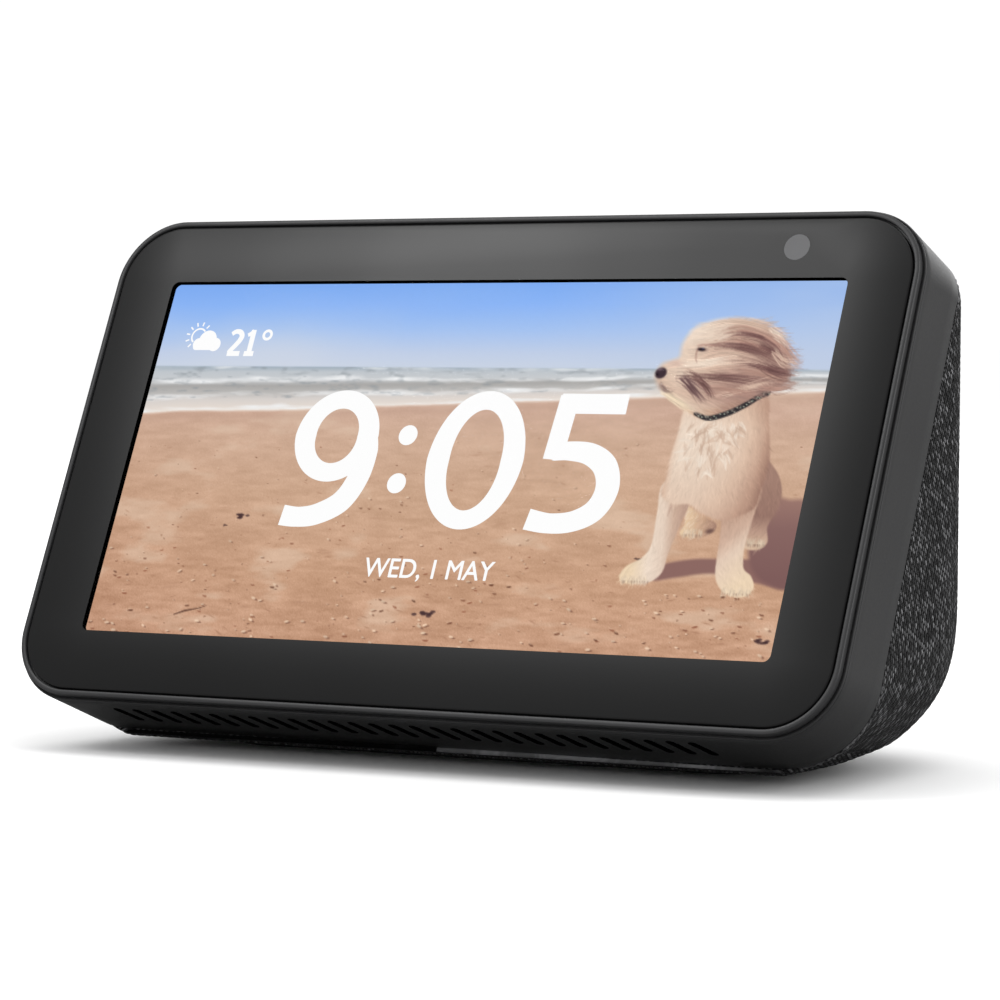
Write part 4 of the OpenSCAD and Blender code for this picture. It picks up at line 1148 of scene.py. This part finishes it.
    # neck and collar
    neck = [(35, 12.4), (37, 10.6), (39.6, 8.9), (42.2, 7.9), (46, 8.8), (50, 10.8), (52.8, 12.2),
            (52, 14), (44, 14), (37, 13.5)]
    fill(img, neck, lambda x, z: ramp(x, [(35, (228, 210, 184)), (40, (214, 184, 158)), (46, (190, 154, 134)),
                                         (52, (160, 126, 116))]))
    fur(img, neck, 420, lambda x, z: unit(-32 + (x - 40) * 2), 1.8, 0.06,
        lambda x, z: TAN if x < 44 else BROWN, 0.6)
    band = curve([(41.2, 8.5), (43.6, 7.8), (46.8, 8.7), (49.6, 10.2), (51.6, 11.6), (52.8, 12.1)], 60)
    for i, (x, z) in enumerate(band):
        dab(img, x, z, 0.5, 0.36 + 0.3 * min(i / 22, 1), rgb(50, 47, 50), 0.95, -0.4, 0.35)
    for i, (x, z) in enumerate(band[3::2]):
        dab(img, x + rng.normal(0, 0.1), z + rng.normal(0, 0.24), 0.19, 0.13, rgb(176, 182, 164), 0.85)
    # head, then its hair, blown back from the face in long locks
    head = [(32.7, 15.2), (33.5, 16.8), (35, 17.4), (36.2, 18.1), (36.3, 20.3), (37.7, 22.7), (41.2, 24.2),
            (45.6, 24.5), (49.4, 23.7), (52.6, 22), (54.2, 19.6), (55.2, 17.2), (55.8, 14.8),
            (54.8, 13.1), (52, 12.2), (48, 11), (44, 9.6), (40.2, 9.2), (36.8, 11), (34.2, 12.5), (33, 14)]

    def head_tone(x, z):
        k = np.clip(np.interp(x, [33, 37, 41, 46, 52, 57], [0.1, 0.0, 0.2, 0.45, 0.6, 0.6])
                    + np.interp(z, [9.5, 12, 15, 19, 22, 24.7], [0.05, 0.3, 0.16, 0.14, 0.0, -0.25]), 0, 1)
        return ramp(k, [(0, (240, 222, 204)), (0.3, (216, 188, 168)), (0.6, (184, 150, 136)),
                        (1, (140, 108, 102))])

    fill(img, head, head_tone, 0.5)
    fur(img, head, 1500, lambda x, z: unit(np.interp(z, [9, 12, 15, 20, 24], [-28, -16, -6, -8, 8])), 2.6, 0.07,
        single(head_tone), 0.6, 0.12)
    light, pale = rgb(222, 192, 172), rgb(242, 224, 206)
    middle, deep = rgb(178, 140, 126), rgb(108, 76, 74)
    for tone, points in (
            (deep, [(42.6, 21.4), (46.7, 22), (50.7, 21), (54.4, 18.7), (56, 17.1)]),
            (middle, [(41.3, 22.2), (46, 22.9), (50.6, 22), (53.7, 20), (55.4, 18.2)]),
            (light, [(39, 23), (44, 24), (48.7, 23.2), (52.8, 21.4), (54.6, 19.6)]),
            (middle, [(41.3, 20.3), (45.3, 20.7), (49.3, 19.4), (53.3, 17.4), (57, 16.8)]),
            (deep, [(40.9, 19.5), (44.7, 19.8), (48.7, 19.2), (52, 17.8), (55.4, 16.3)]),
            (light, [(40, 17.9), (43.7, 18.7), (48, 17.9), (52, 17.1)]),
            (deep, [(45, 17.2), (49, 16.8), (53, 15.6), (56.6, 14.9)]),
            (middle, [(46.7, 15.7), (50.7, 15.3), (54.7, 14.3), (57.2, 14.8)]),
            (deep, [(36.4, 14.9), (40, 14.8), (44, 14.6), (48, 14.2), (52, 13.6), (56, 13.2)]),
            (light, [(43.7, 11.5), (46.7, 12.1), (50, 13), (53.3, 13.6), (56.2, 13.3)]),
            (middle, [(42, 12.9), (46, 12.7), (50, 12), (52.4, 12)]),
            (deep, [(37.7, 15.3), (40.7, 14), (42.7, 12.3), (43.7, 10.7)]),
            (light, [(35.8, 16.1), (39.7, 16.3), (44, 17), (48.7, 17.2), (52.7, 16.2)]),
            (pale, [(36.4, 16.6), (40.4, 16.9), (44, 17.5), (47.4, 17.7)]),
            (deep, [(49.5, 20.2), (52, 19), (54.4, 17.4), (55.9, 15.9)]),
            (pale, [(50.6, 22.6), (53, 21), (54.8, 18.8)]),
            (middle, [(50, 21.6), (53.4, 20), (56.4, 17.2), (58, 16.8)]),
            (light, [(52, 19.2), (54.4, 17.2), (57.4, 16.5)]),
            (deep, [(51, 16.4), (54, 15.4), (57.4, 15.2)]),
            (middle, [(51, 13.2), (54.6, 12.8), (57.6, 14.2)])):
        lock(img, points, tone)
    # forehead, chin and muzzle
    for k in range(160):
        x, z = rng.uniform(36.8, 43), rng.uniform(20.4, 23.4)
        strand(img, [(x, z), (x + 0.8, z + 0.45), (x + 1.9, z + 0.6)], 0.06,
               rgb(240, 220, 202) * rng.uniform(0.92, 1.04), 0.45)
    lock(img, [(37, 14.7), (39, 13.3), (41, 11.7), (42.7, 10.2)], rgb(96, 70, 72), 46, 0.42, 0.65)
    lock(img, [(34.2, 12.4), (36.7, 10.9), (39.3, 9.5), (41.3, 9)], rgb(232, 212, 184), 46, 0.4, 0.6)
    lock(img, [(34.4, 16.6), (36, 16.9), (38, 16.6)], rgb(214, 184, 168), 40, 0.35, 0.5)
    lock(img, [(33.7, 13.8), (34.5, 12.9), (35.6, 12.3), (37, 12.4)], rgb(104, 80, 80), 22, 0.28, 0.5, 0.055)
    dab(img, 33.6, 15.25, 1.2, 1.1, rgb(64, 48, 56), 1, 0.2, 0.3)
    dab(img, 33.4, 15.85, 0.6, 0.28, rgb(136, 114, 122), 0.7, 0.3, 0.6)
    dab(img, 33.1, 15.0, 0.25, 0.2, rgb(20, 14, 18), 0.9)
    # eye, with the dark line below its inner corner
    for k in range(12):
        strand(img, [(39.05 + 0.03 * k, 19.6), (38.85 + 0.03 * k, 18.6), (39 + 0.03 * k, 17.6), (39.5, 17)], 0.05,
               rgb(160, 122, 110), 0.3)
    dab(img, 39.9, 19.25, 1.35, 0.55, rgb(104, 78, 78), 0.7, -0.1, 0.8)
    dab(img, 39.8, 19.25, 0.85, 0.36, rgb(36, 28, 36), 0.95, -0.1, 0.5)
    dab(img, 40.0, 19.4, 0.26, 0.1, rgb(110, 118, 154), 0.7)
    for k in range(50):
        x = rng.uniform(38.8, 42.4)
        strand(img, [(x, 19.9 + rng.normal(0, 0.12)), (x + 0.9, 20.1), (x + 2.4, 19.8)], 0.05,
               rgb(170, 136, 124) * rng.uniform(0.8, 1.3), 0.5)


def paint_pebbles(img):
    for k in range(760):
        z = 8 - 39 * rng.random() ** 0.55
        x = rng.uniform(-62, 62)
        if 33 < x < 60 and z > -21:
            continue
        size = np.interp(z, [-31, 8], [0.62, 0.2]) * rng.uniform(0.25, 1.0) ** 1.3
        turn = rng.uniform(-0.5, 0.3)
        kind = rng.random()
        if kind < 0.4:
            dab(img, x, z, size * 1.1, size * 0.42, rgb(126, 80, 60) * rng.uniform(0.75, 1.2), 0.85, turn)
            dab(img, x - size * 0.4, z + size * 0.4, size * 0.9, size * 0.25, rgb(226, 192, 164), 0.5, turn)
        elif kind < 0.8:
            dab(img, x + size * 0.7, z - size * 0.35, size * 1.2, size * 0.34, rgb(122, 84, 68), 0.8, turn)
            dab(img, x, z, size * 1.0, size * 0.42, rgb(238, 208, 180) * rng.uniform(0.88, 1.05), 0.9, turn)
        else:
            dab(img, x, z, size * 2.2, size * 0.3, rgb(158, 114, 90), 0.6, turn, 0.7)
    for x, z, s in ((-37, -10.3, 1.2), (1.4, -25.7, 1.5), (60.5, -27.8, 1.3), (-40, -12, 0.5), (36.8, -15.4, 0.7)):
        for k in range(9):
            dab(img, x + rng.normal(0, 0.45 * s), z + rng.normal(0, 0.16 * s), 0.4 * s, 0.2 * s,
                rgb(70, 48, 50), 0.8)
    for k in range(5):
        strand(img, [(-45.5, -27.6), (-43.6, -27 + 0.05 * k), (-41.2, -26.4), (-39.6, -25.9)], 0.12,
               rgb(96, 66, 54), 0.6)
    for k in range(60):
        x, z = rng.uniform(-60, 30), rng.uniform(-30, 2)
        w = np.interp(z, [-31, 2], [2.6, 1.4]) * rng.uniform(0.5, 1)
        dab(img, x, z, w, w * 0.12, rgb(172, 130, 106), 0.4, rng.uniform(-0.1, 0.25), 0.9)


FIT, SHIFT_X, SHIFT_Z = 0.993, -0.65, 0.45  # the picture lies deeper than the glass it is seen through


def glow(name):
    """A material that only shines."""
    m = Nodes(name)
    m.set(Base_Color=(0, 0, 0, 1), Roughness=0.5, Emission_Strength=1.0, Specular_IOR_Level=0.0)
    return m


def make_picture():
    img = paint_beach()
    paint_pebbles(img)
    paint_dog(img)
    small = img.reshape(ROWS, OVER, COLS, OVER, 3).mean((1, 3)) / 255
    lin = np.clip(small, 0, 1)
    lin = np.where(lin <= 0.04045, lin / 12.92, ((lin + 0.055) / 1.055) ** 2.4)
    x = X0 + (np.arange(COLS) + 0.5) * STEP
    z = Z0 - (np.arange(ROWS) + 0.5) * STEP
    xx, zz = np.meshgrid(x, z)
    xx, zz = xx * FIT + SHIFT_X, zz + SHIFT_Z
    v = 1.49
    co = np.stack([xx, PANEL_Y + v * CL + zz * SL, PANEL_Z - v * SL + zz * CL], -1).reshape(-1, 3) * MM
    i = np.arange(ROWS * COLS).reshape(ROWS, COLS)
    quads = np.stack([i[:-1, :-1], i[1:, :-1], i[1:, 1:], i[:-1, 1:]], -1).reshape(-1, 4)
    me = bpy.data.meshes.new("screen_picture")
    me.vertices.add(len(co))
    me.vertices.foreach_set("co", co.ravel())
    me.loops.add(quads.size)
    me.loops.foreach_set("vertex_index", quads.ravel())
    me.polygons.add(len(quads))
    me.polygons.foreach_set("loop_start", np.arange(len(quads)) * 4)
    me.polygons.foreach_set("loop_total", np.full(len(quads), 4))
    me.update(calc_edges=True)
    col = me.color_attributes.new("picture", "FLOAT_COLOR", "POINT")
    rgba = np.concatenate([lin.reshape(-1, 3), np.ones((len(co), 1))], 1).astype(np.float32)
    col.data.foreach_set("color", rgba.ravel())
    m = glow("picture")
    attr = m.add("ShaderNodeVertexColor", layer_name="picture")
    cells = m.noise(5200, 1)
    m.link(m.mix(m.span(cells, 0, 0.005), attr.outputs["Color"], (1, 1, 1)), m.bsdf.inputs["Emission Color"])
    me.materials.append(m.mat)
    ob = add_object("screen_picture", me)
    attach(ob, "case")


make_picture()

# ---------------------------------------------------------------- what the screen says: time, date and weather

WHITE = glow("glow_white")
WHITE.link(WHITE.mix(WHITE.noise(5200, 1), (1.0, 1.0, 1.0), (0.97, 0.97, 0.97)),
           WHITE.bsdf.inputs["Emission Color"])
TURN = np.radians(np.arange(0, 360, 15))
CLOCK_H = 23.6
DATE_W = 23.6


def lit(x, v, z):
    """A place on the lit picture."""
    return panel(x * FIT + SHIFT_X, v, z + SHIFT_Z)


def stroke_shape(bm, path, widths, v=1.47, closed=False):
    """A flat stroke along a smoothed path, with its width running from point to point."""
    pts, ws = [], []
    n = len(path)
    for i in range(n if closed else n - 1):
        p0, p1, p2, p3 = (np.array(path[(i + k) % n] if closed else path[min(max(i + k, 0), n - 1)], float)
                          for k in (-1, 0, 1, 2))
        for t in np.arange(0, 1, 0.1):
            pts.append(catmull(p0, p1, p2, p3, t))
            ws.append(widths[i] + (widths[(i + 1) % n] - widths[i]) * t)
    if not closed:
        pts.append(np.array(path[-1], float))
        ws.append(widths[-1])
    rows = []
    m = len(pts)
    for i in range(m):
        a, b = (pts[i - 1], pts[(i + 1) % m]) if closed else (pts[max(i - 1, 0)], pts[min(i + 1, m - 1)])
        d = (b - a) / (np.linalg.norm(b - a) + 1e-9)
        nrm = np.array([-d[1], d[0]]) * ws[i] / 2
        rows.append([bm.verts.new(lit(*((pts[i] + nrm * s)[0], v, (pts[i] + nrm * s)[1]))) for s in (1, -1)])
    for i in range(m if closed else m - 1):
        a, b = rows[i], rows[(i + 1) % m]
        bm.faces.new((a[0], a[1], b[1], b[0]))


def disc(bm, x, z, r, v=1.47):
    bm.faces.new([bm.verts.new(lit(px, v, pz)) for px, pz in rounded(r, r, r - 1e-4, 10, x, z)])


def glyph(bm, kind, x, z, h):
    """A plain numeral of height h whose lower left corner is at x, z."""
    k = h / CLOCK_H

    def put(path, widths, closed=False):
        stroke_shape(bm, [(x + a * k, z + b * k) for a, b in path], [w * k * 1.1 for w in widths], closed=closed)

    if kind == "0":
        put([(8.5 + 6.75 * math.cos(a), 11.8 + (10.25 + 0.1 * math.cos(2 * a)) * math.sin(a)) for a in TURN],
            [3.75 - 0.85 * abs(math.sin(a)) for a in TURN], True)
    elif kind == "9":
        put(arc_points(7.7, 15.6, 5.9, 6.35, range(0, 360, 15)),
            [3.6 - 0.7 * abs(math.sin(a)) for a in TURN], True)
        put([(13.6, 16.6), (14.15, 13.2), (13.7, 8.6), (11.6, 4.4), (7.6, 2.1), (4, 1.5), (0.9, 1.75)],
            [2.4, 3.6, 3.7, 3.7, 3.4, 3.1, 3.2])
    elif kind == "5":
        put([(2.0, 21.55), (7.5, 21.55), (13.9, 21.55)], [3.1, 3.1, 3.1])
        put([(3.45, 22.9), (3.1, 17.5), (2.75, 12.1)], [3.2, 3.2, 3.2])
        put([(2.6, 13.3), (5.4, 13.6), (9.3, 13.1), (12.4, 11.0), (13.55, 7.4), (12.2, 3.9), (8.8, 1.95),
             (4.6, 1.5), (0.6, 2.1)], [2.6, 2.9, 3.3, 3.7, 3.8, 3.6, 3.2, 3.0, 3.2])
    elif kind == "2":
        put([(1.6, 19.6), (5, 21.8), (9.4, 21.4), (11.9, 18.2), (11, 14.4), (7.8, 9.6), (4.2, 5.2), (2.4, 2.6)],
            [3.6, 3.8, 4.1, 4.4, 4.4, 4.2, 4.0, 3.8])
        put([(1.2, 2.0), (7.5, 2.0), (13.6, 2.0)], [4.1, 4.1, 4.1])
    elif kind == "1":
        put([(2.2, 18.6), (5.4, 20.4), (7.4, 22.8)], [3.0, 3.4, 3.4])
        put([(7.2, 23.4), (7.2, 11), (7.2, 1.2)], [4.4, 4.4, 4.4])
        put([(2.4, 2.0), (7, 2.0), (12, 2.0)], [4.1, 4.1, 4.1])


def make_readout():
    bm = bmesh.new()
    glyph(bm, "9", -30.5, -11.75, CLOCK_H)
    for z in (4.15, -4.1):
        disc(bm, -9.4, z, 1.72)
    glyph(bm, "0", -4.5, -11.65, CLOCK_H)
    glyph(bm, "5", 15.2, -11.65, CLOCK_H)
    glyph(bm, "2", -48.6, 17.8, 4.7)
    glyph(bm, "1", -45.5, 17.8, 4.7)
    ring = arc_points(-41.2, 21.55, 0.75, 0.75, range(0, 360, 30))
    stroke_shape(bm, ring, [0.5] * len(ring), closed=True)
    # weather: a cloud in front of a rayed sun
    lobes = ((-54.6, 19.9, 1.05), (-52.9, 20.6, 1.75), (-51.3, 19.8, 1.2))
    for i, (x, z, r) in enumerate(lobes):
        disc(bm, x, z, r, 1.466 - 0.002 * i)
    bm.faces.new([bm.verts.new(lit(px, 1.458, pz)) for px, pz in rounded(2.5, 0.65, 0.64, 6, -53.0, 19.45)])
    arc = arc_points(-54.9, 21.3, 1.35, 1.35, range(40, 231, 19))
    stroke_shape(bm, arc, [0.3] * len(arc))
    for a in np.radians(np.arange(50, 231, 30)):
        c, s = math.cos(a), math.sin(a)
        stroke_shape(bm, [(-54.9 + q * c, 21.3 + q * s) for q in (1.85, 2.2, 2.55)], [0.26] * 3)
    finish_mesh("screen_readout", bm, [WHITE.mat])


def make_date():
    """The date in the built-in font, as three copies a hair apart that thicken its strokes."""
    font = bpy.data.curves.new("date", "FONT")
    font.body = "WED, 1 MAY"
    font.size = 4.55 * MM
    font.space_character = 0.98
    font.resolution_u = 6
    text = add_object("date", font)
    dg = bpy.context.evaluated_depsgraph_get()
    dg.update()
    me = bpy.data.meshes.new_from_object(text.evaluated_get(dg))
    bpy.data.objects.remove(text)
    xs = [v.co.x for v in me.vertices]
    left, k = min(xs), DATE_W / (max(xs) - min(xs))
    bm = bmesh.new()
    for dx, dz, v in ((0.0, 0.0, 1.47), (0.1, 0.02, 1.468), (0.05, -0.06, 1.466)):
        start = len(bm.verts)
        bm.from_mesh(me)
        bm.verts.ensure_lookup_table()
        for vert in bm.verts[start:]:
            vert.co = lit((vert.co.x - left) * k - 11.6 + dx, v, vert.co.y / MM - 19.9 + dz)
    bm.to_mesh(me)
    bm.free()
    me.materials.clear()
    me.materials.append(WHITE.mat)
    ob = add_object("screen_date", me)
    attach(ob, "case")


make_readout()
make_date()

# ---------------------------------------------------------------- the CAD pieces that stay: looks and edges

# border_film takes the near-black as black print; for slot_mesh the near-black is partly its own dark colour and
# partly painted shade behind the slots.
LOOK = {
    "border_film": "black_and_slot_shade", "touch_sensor": "clear_film", "lcd_panel": "panel", "backlight_unit": "white",
    "display_tray": "steel", "slot_mesh": "black_and_slot_shade", "chassis_plate": "alloy", "chassis_screws": "zinc",
    "board_standoffs": "brass", "main_board": "circuit", "board_screws": "zinc", "processor": "chip",
    "thermal_pad": "pad", "main_shield": "steel", "radio_shield": "steel", "board_connectors": "ivory",
    "power_coils": "chip", "display_flex": "film", "upper_flexes": "film", "io_flex": "film",
    "button_board": "circuit", "tact_switches": "steel", "mic_modules": "nickel", "mic_gaskets": "rubber",
    "camera_module": "black", "camera_lens": "lens", "camera_board": "circuit", "antennas": "brass",
    "antenna_cables": "rubber", "rear_shell": "black", "case_screws": "zinc", "speaker_box": "black",
    "speaker_screws": "zinc", "speaker_gasket": "rubber", "speaker_basket": "painted",
    "speaker_magnet": "zinc", "speaker_cone": "paper", "voice_coil": "copper",
    "speaker_surround": "rubber", "speaker_spider": "spider", "speaker_leads": "wire",
    "io_board": "circuit", "dc_jack": "jack", "dc_pin": "nickel", "usb_port": "nickel",
    "usb_tongue": "jack", "audio_jack": "jack", "port_plate": "black",
}
BEVEL = {"port_plate": 0.3, "dc_jack": 0.15, "dc_pin": 0.2, "usb_port": 0.08, "usb_tongue": 0.1,
         "audio_jack": 0.15, "processor": 0.12, "power_coils": 0.2, "board_connectors": 0.12,
         "main_shield": 0.1, "radio_shield": 0.1, "case_screws": 0.1, "speaker_box": 0.3,
         "tact_switches": 0.1, "mic_modules": 0.08, "camera_module": 0.12}
for node, look in LOOK.items():
    ob = NODES[node]
    ob.data.materials.clear()
    ob.data.materials.append(M[look])
    if node in BEVEL:
        weld = ob.modifiers.new("weld", "WELD")
        weld.merge_threshold = 0.002 * MM
        mod = ob.modifiers.new("soften", "BEVEL")
        mod.width = BEVEL[node] * MM
        mod.segments = 2
        mod.limit_method = "ANGLE"
        mod.angle_limit = math.radians(40)

# ---------------------------------------------------------------- stage, light and camera


def stage_floor():
    """A floor that the camera sees as white, and that throws less light up at the object."""
    m = Nodes("floor")
    seen = m.add("ShaderNodeLightPath").outputs["Is Camera Ray"]
    pale = m.mix(m.noise(3, 2), (0.96, 0.96, 0.96), (0.98, 0.98, 0.98))
    m.link(m.mix(seen, (0.22, 0.22, 0.22), pale), m.bsdf.inputs["Base Color"])
    m.set(Roughness=1.0, Specular_IOR_Level=0.0)
    bm = bmesh.new()
    bm.faces.new([bm.verts.new(p) for p in ((-6, -4, 0), (6, -4, 0), (6, 12, 0), (-6, 12, 0))])
    me = to_mesh("floor", bm)
    me.materials.append(m.mat)
    ob = add_object("floor", me)


def area(name, place, aim, size, power):
    light = bpy.data.lights.new(name, "AREA")
    light.shape = "RECTANGLE"
    light.size, light.size_y = size
    light.energy = power
    ob = add_object(name, light)
    ob.location = place
    ob.rotation_euler = (Vector(aim) - Vector(place)).to_track_quat("-Z", "Y").to_euler()


def stage_light():
    world = bpy.data.worlds.new("studio")
    bpy.context.scene.world = world
    world.use_nodes = True
    nt = world.node_tree
    back = nt.nodes["Background"]
    back.inputs["Color"].default_value = (1, 1, 1, 1)
    path = nt.nodes.new("ShaderNodeLightPath")
    # white behind the object, an even white sky for the floor, and a dimmer one in reflections
    strength = nt.nodes.new("ShaderNodeMapRange")
    nt.links.new(path.outputs["Is Glossy Ray"], strength.inputs["Value"])
    strength.inputs["To Min"].default_value = 1.05
    strength.inputs["To Max"].default_value = 0.24
    nt.links.new(strength.outputs["Result"], back.inputs["Strength"])
    area("top", (0.0, 0.25, 1.3), (0, 0, 0), (1.4, 1.0), 5.0)
    area("gloss", (-0.44, -0.43, 0.72), (0, 0, 0.08), (0.22, 0.26), 1.1)
    area("rear", (-0.3, 1.3, 0.35), (0, 0, 0.05), (1.2, 0.5), 3.0)
    area("side", (0.75, 0.35, 0.3), (0.06, 0, 0.05), (0.35, 0.6), 1.5)


def stage_camera():
    data = bpy.data.cameras.new("camera")
    data.sensor_width = 36
    data.lens = 143.92
    data.clip_start, data.clip_end = 0.01, 50
    cam = add_object("camera", data)
    cam.location = Vector((323.7, -551.2, 68.1)) * MM
    cam.rotation_euler = Vector((-0.5085, 0.860, -0.043)).to_track_quat("-Z", "Y").to_euler()
    bpy.context.scene.camera = cam


stage_floor()
stage_light()
stage_camera()
bpy.context.scene.view_settings.view_transform = "Standard"
